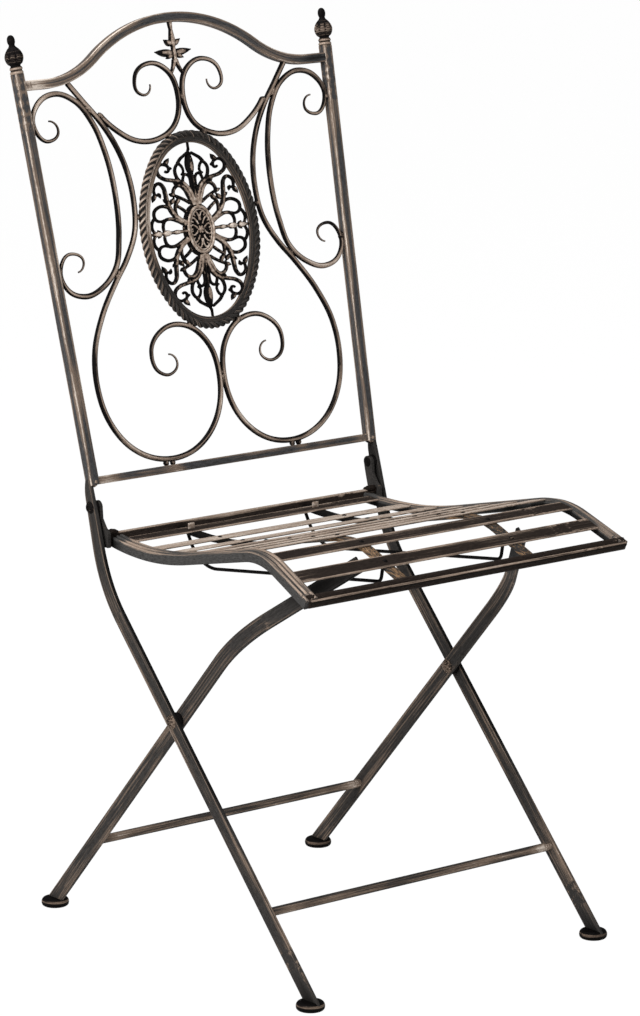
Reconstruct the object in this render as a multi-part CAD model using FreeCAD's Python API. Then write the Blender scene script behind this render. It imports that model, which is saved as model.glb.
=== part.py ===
# Folding garden chair in painted iron: scroll back with an oval medallion, slatted wavy seat.
# X runs across the chair, the front faces -Y, Z is up, the feet stand on Z = 0. Millimetres.
import FreeCAD, Part
import math
import os
from FreeCAD import Vector as V

os.makedirs("parts", exist_ok=True)

# Back: coordinates (x, s) lie in the leaning plane, s runs up from the bottom rail
LEAN = 13.43                        # degrees off upright
BACK_Y, BACK_Z = 138.7, 470.5       # centre of the bottom rail
STILE = 11.0                        # square post
STILE_X0, STILE_X1 = 183.0, 200.5   # post centre at s = 0 and at the top rail
STILE_LOW, STILE_TOP = -4.0, 420.0
RAIL = 10.0                         # square top rail
RAIL_S = 407.5
RAIL_FLAT_X = 170.0                 # where the flat ends of the top rail start to rise
RAIL_DIP_R, RAIL_CROWN_R = 108.0, 174.0
BOTTOM_RAIL = 8.0
ROD_R = 3.0                         # scroll rod
TIP_R = 1.4                         # thinned end of a curl
MEDAL_S = 241.5
ROPE_A, ROPE_B, ROPE_END_R = 73.0, 100.5, 58.0
ROPE_R = 4.0
BAND_OUT, BAND_IN, BAND_T = -4.0, -9.0, 4.0
BOSS_A, BOSS_B, BOSS_END_R = 17.5, 25.0, 13.5
LEAF_T = 4.0                        # thickness of the cast filigree and the crest

# Legs
BAR_W, BAR_T = 17.0, 4.0
FRONT_X, REAR_X = 187.0, 178.0      # centre planes of the front and rear leg bars
CROSS_Z = 246.3                     # crossing rivet, on Y = 0
FRONT_FOOT_Y, REAR_FOOT_Y = -221.0, 219.6
FRONT_END_Y, REAR_END_Y = -224.0, 217.5
FRONT_BEND_R = 150.0
FOOT_R, FOOT_H = 14.5, 9.0
STRETCHER_R = 4.5
FRONT_STRETCHER_Z, REAR_STRETCHER_Z = 83.0, 87.0
REAR_BEND_Z, REAR_BEND_R = 352.0, 60.0
SLIDE = V(109.0, -190.0, 427.8)     # centre of the rounded upper end of the right rear leg
PIN_R = 4.0
RIVET_R, RIVET_HEAD_R, RIVET_HEAD_H = 4.0, 7.5, 4.0

# Seat
HINGE_Y, HINGE_Z = 135.0, 444.5     # seat hinge
SCREW_R, RUN = 3.0, 0.08            # hinge screw and running clearance
EAR_X, EAR_T, EAR_R = 177.5, 4.0, 6.5
SEAT_REAR_Y = 120.5
SEAT_REAR_X, SEAT_YAW = 172.9, 5.69  # outer face at the rear, degrees of splay
RAIL_W, RAIL_H, BEAD_R = 14.0, 9.0, 2.25
RAIL_STEP = 1.0                     # each of the three ridges lies this much lower toward the outside
SEAT_LOW_Z, DIP_R, DIP_D0, DIP_D1 = 412.2, 440.0, 45.0, 140.0
HUMP_R, HUMP_D = 95.0, 252.0       # hump radius and where it starts
NOSE_ANGLE = 21.8                   # degrees down at the front
SEAT_END_D = 359.0
SLAT_U = (207.5, 171.0, 133.0, 95.0, 57.0, 19.0, -19.0, -57.0, -104.0)
SLAT_W, SLAT_T, SLAT_DROP = 16.5, 1.6, 0.0
FRONT_SLATS, FRONT_SLAT_W = 3, 19.0
LUG_Y, LUG_W, LUG_H, LUG_T = 106.0, 8.0, 6.0, 1.6   # upright lugs on the rearmost slat
SUPPORT_X, SUPPORT_W, SUPPORT_T = 82.0, 12.0, 4.0
WIRE_X, WIRE_R = 78.0, 1.75
RIVET_DOT_R = 2.6
REAR_RAIL_Z = 411.0                 # centre of the standing rear bar


def frame(origin, ex, ez):
    ez = V(ez).normalize()
    ex = (ex - ez * ex.dot(ez)).normalize()
    ey = ez.cross(ex)
    return FreeCAD.Placement(FreeCAD.Matrix(ex.x, ey.x, ez.x, origin.x, ex.y, ey.y, ez.y, origin.y,
                                            ex.z, ey.z, ez.z, origin.z, 0, 0, 0, 1))


def rounded_rect(w, h, r):
    a, b = w / 2 - r, h / 2 - r
    centres = [(a, b), (-a, b), (-a, -b), (a, -b)]
    arcs = [Part.makeCircle(r, V(x, y, 0), V(0, 0, 1), 90 * i, 90 * i + 90) for i, (x, y) in enumerate(centres)]
    edges = []
    for i, arc in enumerate(arcs):
        edges += [arc, Part.makeLine(arc.Vertexes[-1].Point, arcs[(i + 1) % 4].Vertexes[0].Point)]
    return Part.Face(Part.Wire(edges))


def bar(p0, p1, w, h, r, wide):
    face = rounded_rect(w, h, r)
    face.Placement = frame(p0, wide, p1 - p0)
    return face.extrude(p1 - p0)


def cyl(r, p0, p1):
    return Part.makeCylinder(r, (p1 - p0).Length, p0, p1 - p0)


def ring(r_out, r_in, p0, p1):
    return cyl(r_out, p0, p1).cut(cyl(r_in, p0, p1))


def dome(r, h, centre, out):
    radius = (r * r + h * h) / (2 * h)
    half_turn = math.asin(r / radius) / 2
    on_arc = V(radius * math.sin(half_turn), 0, h - radius + radius * math.cos(half_turn))
    rim, top, base = V(r, 0, 0), V(0, 0, h), V(0, 0, 0)
    face = Part.Face(Part.Wire([Part.makeLine(base, rim), Part.Arc(rim, on_arc, top).toShape(),
                                Part.makeLine(top, base)]))
    cap = face.revolve(base, V(0, 0, 1), 360)
    cap.Placement = frame(centre, V(0, 1, 0) if abs(out.x) > 0.9 else V(1, 0, 0), out)
    return cap


def mirrored(shape):
    return shape.mirror(V(0, 0, 0), V(1, 0, 0))


def fused(shapes):
    return shapes[0] if len(shapes) == 1 else shapes[0].multiFuse(shapes[1:]).removeSplitter()


def export(name, shape):
    shape.exportStep("parts/" + name + ".step")


def export_pair(name, right):
    export(name + "_right", right)
    export(name + "_left", mirrored(right))


def export_group(name, right):
    export(name, Part.makeCompound(right.Solids + mirrored(right).Solids))


# Curves through chosen points, turned into tangent arcs
def curve(points):
    spline = Part.BSplineCurve()
    spline.interpolate([V(x, y, 0) for x, y in points])
    return spline


def arcs(spline, tolerance=0.15):
    return Part.Wire([a.toShape() for a in spline.toBiArcs(tolerance)])


def section(wire, end, r):
    edge = wire.OrderedEdges[-1 if end else 0]
    par = edge.LastParameter if end else edge.FirstParameter
    return Part.Wire([Part.makeCircle(r, edge.valueAt(par), edge.tangentAt(par))])


def tube(wire, r):
    return wire.makePipeShell([section(wire, False, r)], True, True)


def taper(wire, r0, r1):
    pipe = Part.BRepOffsetAPI.MakePipeShell(wire)
    pipe.setFrenetMode(True)
    pipe.add(section(wire, False, r0))
    pipe.add(section(wire, True, r1))
    pipe.build()
    pipe.makeSolid()
    return pipe.shape()


# A round rod through points; the first head_n and the last tail_n spans thin down to the tip
def scroll(points, head_n, tail_n):
    whole = curve(points)
    cut = [whole.parameter(V(x, y, 0)) for x, y in points]
    last = len(points) - 1
    solids = []
    body = whole.copy()
    body.segment(cut[head_n], cut[last - tail_n])
    solids.append(tube(arcs(body), ROD_R))
    if head_n:
        head = whole.copy()
        head.segment(cut[0], cut[head_n])
        solids += [taper(arcs(head), TIP_R, ROD_R), Part.makeSphere(TIP_R, V(*points[0], 0))]
    if tail_n:
        tail = whole.copy()
        tail.segment(cut[last - tail_n], cut[last])
        solids += [taper(arcs(tail), ROD_R, TIP_R), Part.makeSphere(TIP_R, V(*points[-1], 0))]
    return fused(solids)


# Four-arc oval, moved outward by off
def oval(a, b, end_r, off, s=0.0):
    side_r = ((b - end_r) ** 2 + a * a - end_r ** 2) / (2 * (a - end_r))
    turn = math.degrees(math.atan2(b - end_r, side_r - a))
    up = V(0, 0, 1)
    edges = []
    for k in (0, 1):
        flip = -1 if k else 1
        edges.append(Part.makeCircle(side_r + off, V(flip * (a - side_r), s, 0), up,
                                     180 * k - turn, 180 * k + turn))
        edges.append(Part.makeCircle(end_r + off, V(0, s + flip * (b - end_r), 0), up,
                                     180 * k + turn, 180 * k + 180 - turn))
    return Part.Wire(edges)


# Flat stroke of one width with round ends
def stroke(points, width, s=0.0):
    points = [(x, y + s) for x, y in points]
    if len(points) == 2:
        wire = Part.makePolygon([V(x, y, 0) for x, y in points])
        side = V(points[1][1] - points[0][1], points[0][0] - points[1][0], 0).normalize() * (width / 2)
        a, b = wire.Vertexes[0].Point, wire.Vertexes[1].Point
        return Part.Face(Part.makePolygon([a + side, b + side, b - side, a - side, a + side]))
    return Part.Face(arcs(curve(points)).makeOffset2D(width / 2, join=0, fill=False, openResult=False))


# Pointed leaf between two ends
def leaf(p, q, half, s=0.0):
    a, b = V(p[0], p[1] + s, 0), V(q[0], q[1] + s, 0)
    mid = (a + b) * 0.5
    side = V(a.y - b.y, b.x - a.x, 0).normalize() * half
    return Part.Face(Part.Wire([Part.Arc(a, mid + side, b).toShape(), Part.Arc(b, mid - side, a).toShape()]))


def four(faces, s):
    out = []
    for face in faces:
        side = face.mirror(V(0, 0, 0), V(1, 0, 0))
        out += [face, side, face.mirror(V(0, s, 0), V(0, 1, 0)), side.mirror(V(0, s, 0), V(0, 1, 0))]
    return out


def plate(face, t):
    slab = face.extrude(V(0, 0, t))
    slab.translate(V(0, 0, -t / 2))
    return slab


BACK = FreeCAD.Placement(V(0, BACK_Y, BACK_Z), FreeCAD.Rotation(V(1, 0, 0), 90 - LEAN))


def on_back(shape):
    out = shape.copy()
    out.Placement = BACK.multiply(out.Placement)
    return out


# Back posts, rails and finials
slope = (STILE_X1 - STILE_X0) / RAIL_S
stile_dir = V(slope, 1, 0).normalize()


def stile_x(s):
    return STILE_X0 + slope * s


post = bar(V(stile_x(STILE_LOW), STILE_LOW, 0), V(stile_x(STILE_TOP), STILE_TOP, 0),
           STILE, STILE, 1.6, V(1, -slope, 0))
export_pair("stile", on_back(post))

crown_s = RAIL_S + RAIL_DIP_R - math.sqrt((RAIL_DIP_R + RAIL_CROWN_R) ** 2 - RAIL_FLAT_X ** 2)


def rail_edge(off):
    dip_c = V(RAIL_FLAT_X, RAIL_S + RAIL_DIP_R, 0)
    crown_c = V(0, crown_s, 0)
    join = math.degrees(math.atan2(dip_c.y - crown_c.y, dip_c.x))
    end = stile_x(RAIL_S + off) - STILE / 2 * 1.001
    up = V(0, 0, 1)
    side = [Part.makeLine(V(end, RAIL_S + off, 0), V(RAIL_FLAT_X, RAIL_S + off, 0)),
            Part.makeCircle(RAIL_DIP_R - off, dip_c, up, 180 + join, 270)]
    mid = Part.makeCircle(RAIL_CROWN_R + off, crown_c, up, join, 180 - join)
    return side + [mid] + [mirrored(e) for e in side], end


top_edges, top_end = rail_edge(RAIL / 2)
low_edges, low_end = rail_edge(-RAIL / 2)
ends = [Part.makeLine(V(k * top_end, RAIL_S + RAIL / 2, 0), V(k * low_end, RAIL_S - RAIL / 2, 0))
        for k in (1, -1)]
rail_face = Part.Face(Part.Wire(Part.__sortEdges__(top_edges + low_edges + ends)))
top_rail = plate(rail_face, RAIL)
export("top_rail", on_back(top_rail))

half = stile_x(0) - STILE / 2
export("bottom_rail", on_back(bar(V(-half, 0, 0), V(half, 0, 0), BOTTOM_RAIL, BOTTOM_RAIL, 1.0, V(0, 1, 0))))


def finial():
    outline = [(0, 0), (6.6, 0), (7.0, 2.0), (6.0, 3.8), (6.8, 5.6), (6.0, 7.6), (5.2, 8.2), (7.6, 11.0),
               (9.4, 15.0), (9.7, 18.0), (8.6, 22.0), (6.0, 26.0), (3.6, 28.6), (3.1, 30.0), (3.8, 32.0),
               (4.1, 35.0), (3.2, 38.4), (1.6, 40.0), (0, 40.4)]
    skin = Part.BSplineCurve()
    skin.interpolate([V(r, h, 0) for r, h in outline[2:-1]])
    pts = [V(r, h, 0) for r, h in outline]
    edges = [Part.makePolygon(pts[:3]), skin.toShape(), Part.makePolygon([pts[-2], pts[-1], pts[0]])]
    face = Part.Face(Part.Wire([e for w in edges for e in w.Edges]))
    return face.revolve(V(0, 0, 0), V(0, 1, 0), 360)


bud = finial()
bud.Placement = frame(V(stile_x(STILE_TOP), STILE_TOP, 0), V(1, -slope, 0), V(0, 0, 1))
export_pair("finial", on_back(bud))

# Scrolls of the right half
LYRE = [(141, 406), (125, 386), (108, 365), (93, 340), (83, 312), (79.5, 280), (84, 247), (98, 219), (115, 198),
        (140, 166), (156, 130), (159.5, 96), (151, 58), (127, 27), (84, 10.5), (44, 18), (14, 46), (3.0, 86),
        (10.8, 122.4), (35.6, 144.2), (66, 144), (85.5, 122), (79, 100.5), (64, 97), (54.5, 107), (64, 117.5)]
SIDE = [(171, 369.5), (160.8, 358), (173, 349), (190.2, 366), (179, 390), (158, 396.5), (135, 387.3), (116.6, 362.8),
        (106.5, 332), (101.5, 288), (105, 243), (115, 214), (134, 194.5), (157, 187.5), (178, 196.5), (183.3, 217.5),
        (168, 232.5), (153.5, 222), (162, 213)]
HEART = [(106, 370), (88, 353), (64, 340.2), (36.8, 339.8), (12.7, 353), (3.1, 381), (13, 410), (34, 418.8),
         (55, 406), (53, 389), (42.5, 387), (37, 397)]
for name, points, head_n, tail_n in (("lyre_scroll", LYRE, 0, 6), ("side_scroll", SIDE, 4, 5),
                                     ("heart_scroll", HEART, 0, 5)):
    export_pair(name, on_back(scroll(points, head_n, tail_n)))

weld = Part.makeBox(9.0, 4.2, 5.0, V(79.0, BOTTOM_RAIL / 2, -2.5))
export_group("weld_tabs", on_back(weld))

# Medallion
rope_path = oval(ROPE_A, ROPE_B, ROPE_END_R, 0, MEDAL_S)
export("medallion_rope", on_back(tube(rope_path, ROPE_R)))
band_face = Part.Face(oval(ROPE_A, ROPE_B, ROPE_END_R, BAND_OUT, MEDAL_S)).cut(
    Part.Face(oval(ROPE_A, ROPE_B, ROPE_END_R, BAND_IN, MEDAL_S)))
export("medallion_band", on_back(plate(band_face, BAND_T)))

boss = Part.Face(oval(BOSS_A, BOSS_B, BOSS_END_R, 0, MEDAL_S)).extrude(V(0, 0, 7.0))
boss.translate(V(0, 0, -2.5))
boss = boss.makeFillet(1.5, [e for e in boss.Edges if e.BoundBox.ZMin > 4.4])
well = Part.Face(oval(BOSS_A, BOSS_B, BOSS_END_R, -4.0, MEDAL_S)).extrude(V(0, 0, 3.0))
well.translate(V(0, 0, 2.5))
button = Part.Face(oval(6.0, 8.5, 4.6, 0, MEDAL_S)).extrude(V(0, 0, 2.6))
button.translate(V(0, 0, 2.4))
export("medallion_boss", on_back(boss.cut(well).fuse(button).removeSplitter()))

outer_x, outer_s = ROPE_A + BAND_IN + 1.0, ROPE_B + BAND_IN + 1.0
quarter = [stroke([(8, 21), (10.5, 33), (11, 43), (16, 51), (23.5, 48), (23, 40.5), (17.5, 41.5)], 4.0, MEDAL_S),
           stroke([(13, 17), (22, 28), (33, 40), (41, 53), (39, 66), (31, 68.5), (28, 61.5), (33.5, 58.5)],
                  4.4, MEDAL_S),
           stroke([(29, 36), (42, 34), (53, 38), (53, 48), (45, 50.5), (41.5, 44.5), (46, 41.5)], 4.0, MEDAL_S),
           stroke([(16, 6), (30, 8.5), (45, 11.5), (58, 16), (57.5, 26), (49, 28), (45, 21.5), (50, 18)],
                  4.0, MEDAL_S),
           stroke([(39.5, 56), (44, 61), (47.5, 65)], 4.0, MEDAL_S),
           stroke([(0.5, 66), (8, 68), (14, 75), (12, 82)], 3.4, MEDAL_S)]
spears = [stroke([(0, BOSS_B - 2), (0, outer_s)], 4.4, MEDAL_S), leaf((0, 56), (0, 90), 6.4, MEDAL_S),
          stroke([(0, -BOSS_B + 2), (0, -outer_s)], 4.4, MEDAL_S), leaf((0, -90), (0, -56), 6.4, MEDAL_S)]
for k in (1, -1):
    spears += [stroke([(k * (BOSS_A - 2), 0), (k * outer_x, 0)], 3.0, MEDAL_S),
               leaf((k * 24, 0), (k * 56, 0), 4.0, MEDAL_S)]
sheet = Part.Face(oval(ROPE_A, ROPE_B, ROPE_END_R, BAND_IN, MEDAL_S)).cut(
    Part.Face(oval(BOSS_A, BOSS_B, BOSS_END_R, 0, MEDAL_S)))
collar = Part.Face(oval(BOSS_A, BOSS_B, BOSS_END_R, 2.6, MEDAL_S))
filigree = fused([plate(f, LEAF_T) for f in four(quarter, MEDAL_S) + spears + [collar]])
export("medallion_filigree", on_back(filigree.common(plate(sheet, LEAF_T))))

crown_low = crown_s + RAIL_CROWN_R - RAIL / 2
crest = [stroke([(0, 417), (0, crown_low + 2.0)], 5.0)]
for k in (1, -1):
    crest += [leaf((0, 434.5), (k * 11, 441.6), 2.6), leaf((0, 426.4), (k * 23.8, 429.6), 3.4),
              leaf((0, 425.4), (k * 12, 421.6), 2.0),
              stroke([(0, 421), (k * 3.6, 412.5), (k * 7.6, 406)], 4.2)]
crest_slab = fused([plate(f, LEAF_T + 1.0) for f in crest]).cut(top_rail)
heart = scroll(HEART, 0, 5)
crest_slab = crest_slab.cut(heart).cut(mirrored(heart))
export("crest_fleur", on_back(crest_slab))

# Front legs, in the YZ plane
lean = math.radians(LEAN)
up_dir = V(0, math.sin(lean), math.cos(lean))
cross = V(0, 0, CROSS_Z)
leg_dir = (V(0, FRONT_END_Y, FOOT_H) - cross).normalize()
leg_top = V(0, BACK_Y, BACK_Z) + up_dir * STILE_LOW


def side_of(d):
    return V(0, -d.z, d.y)


# where the leaning upper run meets the line of the lower run
reach = (leg_top - cross).dot(side_of(leg_dir)) / up_dir.dot(side_of(leg_dir))
corner = leg_top - up_dir * reach
turn = math.acos(-leg_dir.dot(up_dir))
tangent = FRONT_BEND_R * math.tan(turn / 2)
bend_in = corner + up_dir * tangent
bend_out = corner + leg_dir * tangent
bend_side = side_of(up_dir) * (1 if side_of(up_dir).dot(leg_dir) > 0 else -1)
bend_c = bend_in + bend_side * FRONT_BEND_R
leg_foot = cross + leg_dir * ((FOOT_H - CROSS_Z) / leg_dir.z)


def run_edges(off):
    n0, n1 = bend_side, (bend_c - bend_out).normalize()
    nm = (n0 + n1).normalize()
    r = FRONT_BEND_R - off
    a, b, c, d = leg_top + n0 * off, bend_c - n0 * r, bend_c - n1 * r, leg_foot + n1 * off
    d = c + leg_dir * ((FOOT_H - c.z) / leg_dir.z)
    return [Part.makeLine(a, b), Part.Arc(b, bend_c - nm * r, c).toShape(), Part.makeLine(c, d)], a, d


front_edges, a0, d0 = run_edges(BAR_W / 2)
rear_edges, a1, d1 = run_edges(-BAR_W / 2)
leg_face = Part.Face(Part.Wire(Part.__sortEdges__(front_edges + rear_edges
                                                  + [Part.makeLine(a0, a1), Part.makeLine(d0, d1)])))
front_leg = leg_face.extrude(V(BAR_T, 0, 0))
front_leg.translate(V(FRONT_X - BAR_T / 2, 0, 0))
X = V(1, 0, 0)
hinge = V(0, HINGE_Y, HINGE_Z)
shoulder = [e for e in front_leg.Edges if abs(e.BoundBox.XLength - BAR_T) < 0.01
            and (e.Vertexes[0].Point - leg_top).dot(up_dir) > -0.01]
front_leg = front_leg.makeFillet(3.0, shoulder)
front_leg = front_leg.cut(cyl(RIVET_R, cross + X * 100, cross + X * 300))
front_leg = front_leg.cut(cyl(SCREW_R, hinge + X * 100, hinge + X * 300))
export_pair("front_leg", front_leg)


def at_height(direction, z):
    return cross + direction * ((z - CROSS_Z) / direction.z)


def stretcher(direction, z, half_width):
    p = at_height(direction, z)
    return cyl(STRETCHER_R, p - X * half_width, p + X * half_width)


def foot(x, y):
    prof = [V(0, 0, 0), V(12.4, 0, 0), V(14.0, 0, 1.0), V(FOOT_R, 0, 2.6), V(FOOT_R, 0, 4.8), V(14.0, 0, 6.2),
            V(13.0, 0, 7.0), V(13.0, 0, 8.2), V(12.4, 0, FOOT_H), V(0, 0, FOOT_H), V(0, 0, 0)]
    disc = Part.Face(Part.makePolygon(prof)).revolve(V(0, 0, 0), V(0, 0, 1), 360)
    disc.translate(V(x, y, 0))
    return disc


export_pair("front_foot", foot(FRONT_X, FRONT_FOOT_Y))
export("front_stretcher", stretcher(leg_dir, FRONT_STRETCHER_Z, FRONT_X - BAR_T / 2))

# Rear legs: a straight run, a flatwise bend inward and a rounded upper end
rear_dir = (cross - V(0, REAR_END_Y, FOOT_H)).normalize()
wide = side_of(rear_dir)
knee = at_height(rear_dir, REAR_BEND_Z) + X * REAR_X
rise_dir = (SLIDE - knee).normalize()
axis = rear_dir.cross(rise_dir).normalize()
rear_turn = math.degrees(rear_dir.getAngle(rise_dir))
rear_tangent = REAR_BEND_R * math.tan(math.radians(rear_turn) / 2)
knee_in = knee - rear_dir * rear_tangent
knee_c = knee_in + axis.cross(rear_dir) * REAR_BEND_R
rear_start = at_height(rear_dir, FOOT_H) + X * REAR_X
strip = Part.makePlane(BAR_W, BAR_T, V(-BAR_W / 2, -BAR_T / 2, 0))
strip.Placement = frame(knee_in, wide, rear_dir)
lower = strip.extrude((rear_start - knee_in) * 1.08)
lower = lower.cut(Part.makeBox(400, 800, 200, V(0, -400, FOOT_H - 200)))
bend = strip.revolve(knee_c, axis, rear_turn)
top_strip = strip.copy()
top_strip.rotate(knee_c, axis, rear_turn)
knee_out = knee + rise_dir * rear_tangent
upper = top_strip.extrude(SLIDE - knee_out)
wide_top = FreeCAD.Rotation(axis, rear_turn).multVec(wide)
face_top = wide_top.cross(rise_dir).normalize()
upper = upper.fuse(cyl(BAR_W / 2, SLIDE - face_top * (BAR_T / 2), SLIDE + face_top * (BAR_T / 2)))
rear_leg = fused([lower, bend, upper]).cut(cyl(RIVET_R + RUN, cross + X * 100, cross + X * 300))
export_pair("rear_leg", rear_leg)
export_pair("rear_foot", foot(REAR_X, REAR_FOOT_Y))
export("rear_stretcher", stretcher(rear_dir, REAR_STRETCHER_Z, REAR_X - BAR_T / 2))
pin = cyl(PIN_R, V(SLIDE.x, SLIDE.y, SLIDE.z), V(WIRE_X + WIRE_R + 0.8, SLIDE.y, SLIDE.z))
export_group("slide_pins", pin)

# Crossing rivets with spacers, hinge screws with washers and nuts
out_x, in_x = FRONT_X + BAR_T / 2, REAR_X - BAR_T / 2 - 0.3
rivet = fused([cyl(RIVET_R, cross + X * in_x, cross + X * out_x),
               dome(RIVET_HEAD_R, RIVET_HEAD_H, cross + X * out_x, X),
               dome(RIVET_HEAD_R, RIVET_HEAD_H, cross + X * in_x, -X)])
export_group("leg_rivets", rivet)
export_group("leg_spacers", ring(9.0, RIVET_R, cross + X * (REAR_X + BAR_T / 2 + 0.3),
                                 cross + X * (FRONT_X - BAR_T / 2)))

head = dome(6.5, 3.6, hinge + X * out_x, X).cut(cyl(2.4, hinge + X * (out_x + 1.6), hinge + X * (out_x + 9)))
screw = fused([cyl(SCREW_R, hinge + X * (EAR_X - 2.4), hinge + X * out_x), head])
export_group("seat_screws", screw)
nut = dome(5.4, 2.4, hinge + X * (EAR_X - 0.3), -X).cut(cyl(SCREW_R, hinge + X * 100, hinge + X * 300))
export_group("seat_nuts", nut)
export_group("seat_washers", ring(7.0, SCREW_R, hinge + X * (EAR_X + EAR_T + 0.3), hinge + X * (FRONT_X - BAR_T / 2)))


# Seat profile: z and slope along d, the distance forward of the rear corner
rise = (DIP_D1 - DIP_D0) / DIP_R
RISE_ANGLE = math.degrees(math.asin(rise))
dip_z1 = SEAT_LOW_Z + DIP_R * (1 - math.cos(math.asin(rise)))
hump_z0 = dip_z1 + (HUMP_D - DIP_D1) * math.tan(math.radians(RISE_ANGLE))
hump_top_d = HUMP_D + HUMP_R * rise
hump_top_z = hump_z0 + HUMP_R * (1 - math.cos(math.radians(RISE_ANGLE)))
nose_d = hump_top_d + HUMP_R * math.sin(math.radians(NOSE_ANGLE))


def profile(d):
    if d < DIP_D1:
        a = math.asin((d - DIP_D0) / DIP_R)
        return SEAT_LOW_Z + DIP_R * (1 - math.cos(a)), a
    if d < HUMP_D:
        a = math.radians(RISE_ANGLE)
        return dip_z1 + (d - DIP_D1) * math.tan(a), a
    if d < nose_d:
        a = math.asin((hump_top_d - d) / HUMP_R)
        return hump_top_z - HUMP_R * (1 - math.cos(a)), a
    a = -math.radians(NOSE_ANGLE)
    z = hump_top_z - HUMP_R * (1 - math.cos(a))
    return z + (d - nose_d) * math.tan(a), a


# Point on the profile moved off along its normal: local frame d along Y, height along Z
def on_profile(d, off):
    z, a = profile(d)
    return V(0, d - off * math.sin(a), z + off * math.cos(a))


def profile_edges(d0, d1, off):
    knots = [d0] + [k for k in (DIP_D1, HUMP_D, nose_d) if d0 < k < d1] + [d1]
    edges = []
    for p, q in zip(knots, knots[1:]):
        a, b = on_profile(p + 1e-9, off), on_profile(q - 1e-9, off)
        mid = on_profile((p + q) / 2, off)
        flat = (p >= nose_d - 1e-6) or (abs(p - DIP_D1) < 1e-6)
        edges.append(Part.makeLine(a, b) if flat else Part.Arc(a, mid, b).toShape())
    return edges


def profile_band(d0, d1, top, bottom):
    t, b = profile_edges(d0, d1, top), profile_edges(d0, d1, bottom)
    ends = [Part.makeLine(t[0].Vertexes[0].Point, b[0].Vertexes[0].Point),
            Part.makeLine(t[-1].Vertexes[-1].Point, b[-1].Vertexes[-1].Point)]
    return Part.Face(Part.Wire(Part.__sortEdges__(t + b + ends)))


# Local frame of the right side rail: Y along d, X outward, rear outer corner at the origin
yaw = math.radians(SEAT_YAW)
fore = V(math.sin(yaw), -math.cos(yaw), 0)
outward = V(math.cos(yaw), math.sin(yaw), 0)
RAIL_FRAME = FreeCAD.Placement(FreeCAD.Matrix(-outward.x, fore.x, 0, SEAT_REAR_X, -outward.y, fore.y, 0,
                                              SEAT_REAR_Y, 0, 0, 1, 0, 0, 0, 0, 1))
strips, beads = [], []
for k in range(3):
    drop = RAIL_STEP * (2 - k)
    strip = profile_band(0.3, SEAT_END_D, -drop, -drop - RAIL_H).extrude(V(RAIL_W / 3, 0, 0))
    strip.translate(V(k * RAIL_W / 3, 0, 0))
    path = Part.Wire(profile_edges(0.3, SEAT_END_D, -drop))
    path.translate(V((k + 0.5) * RAIL_W / 3, 0, 0))
    strips.append(strip)
    beads.append(tube(path, BEAD_R))
rail = fused(strips + beads)
seat_rail = rail.copy()
seat_rail.Placement = RAIL_FRAME.multiply(seat_rail.Placement)
front_y = SEAT_REAR_Y - SEAT_END_D * math.cos(yaw) + 1.5
seat_rail = seat_rail.cut(Part.makeBox(80, 60, 120, V(150, front_y - 60, 360)))
seat_rail = seat_rail.cut(Part.makeBox(80, 30, 120, V(140, SEAT_REAR_Y, 360)))
export_pair("seat_rail", seat_rail)


def inner_x(y):
    return SEAT_REAR_X - RAIL_W / math.cos(yaw) + (SEAT_REAR_Y - y) * math.tan(yaw)


# Front rail: rounded nose; rear rail: standing flat bar
nose_z = profile(SEAT_END_D)[0]
nose_x = inner_x(front_y) + RAIL_W / math.cos(yaw)
nose = rounded_rect(10.0, 13.0, 4.2)
nose.Placement = frame(V(-nose_x, front_y - 5.0, nose_z - 5.0), V(0, -1, 0), X)
export("seat_front_rail", nose.extrude(X * (2 * nose_x)))
rear_end = V(EAR_X, SEAT_REAR_Y + 2.5, REAR_RAIL_Z)
export("seat_rear_rail", bar(rear_end - X * (2 * EAR_X), rear_end, 5.0, 15.0, 1.8, V(0, 1, 0)))


# Slats: flat bars across, trimmed to the inner faces of the side rails
def slat(u, width):
    z, a = profile(u + SEAT_REAR_Y)
    mid = V(0, -u, z) + V(0, math.sin(a), math.cos(a)) * -SLAT_DROP
    along = V(0, -math.cos(a), math.sin(a)) * (width / 2)
    down = V(0, -math.sin(a), -math.cos(a)) * SLAT_T
    pts = []
    for k, side in ((1, 1), (1, -1), (-1, -1), (-1, 1)):
        p = mid + along * k
        pts.append(V(side * inner_x((p + down * 0.5).y), p.y, p.z))
    body = Part.Face(Part.makePolygon(pts + pts[:1])).extrude(down)
    return body, mid, down


dots = []
for i, u in enumerate(SLAT_U):
    body, mid, down = slat(u, FRONT_SLAT_W if i < FRONT_SLATS else SLAT_W)
    if u == SLAT_U[-1]:
        lug = Part.makeBox(LUG_W, LUG_T, LUG_H + 1.0, V(SUPPORT_X - LUG_W / 2, LUG_Y - LUG_T, mid.z - 1.0))
        body = fused([body, lug, mirrored(lug)])
    else:
        dots.append(dome(RIVET_DOT_R, 1.2, mid + X * SUPPORT_X, (down * -1).normalize()))
    export("slat_%d" % (i + 1), body)
export_group("slat_rivets", Part.makeCompound(dots))

# Support bars and guide wires under the slats; d runs forward, so Y is reversed
FLIP = FreeCAD.Placement(FreeCAD.Matrix(-1, 0, 0, 0, 0, -1, 0, SEAT_REAR_Y, 0, 0, 1, 0, 0, 0, 0, 1))
support_top = -SLAT_DROP - SLAT_T
support = profile_band(0.0, SEAT_END_D + 1.0, support_top, support_top - SUPPORT_T).extrude(V(SUPPORT_W, 0, 0))
support.translate(V(-SUPPORT_X - SUPPORT_W / 2, 0, 0))
support.Placement = FLIP.multiply(support.Placement)
support = support.cut(Part.makeBox(300, 60, 200, V(0, front_y - 60, 330)))
support = support.cut(Part.makeBox(300, 60, 200, V(0, SEAT_REAR_Y, 330)))
export_pair("support_bar", support)


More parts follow.
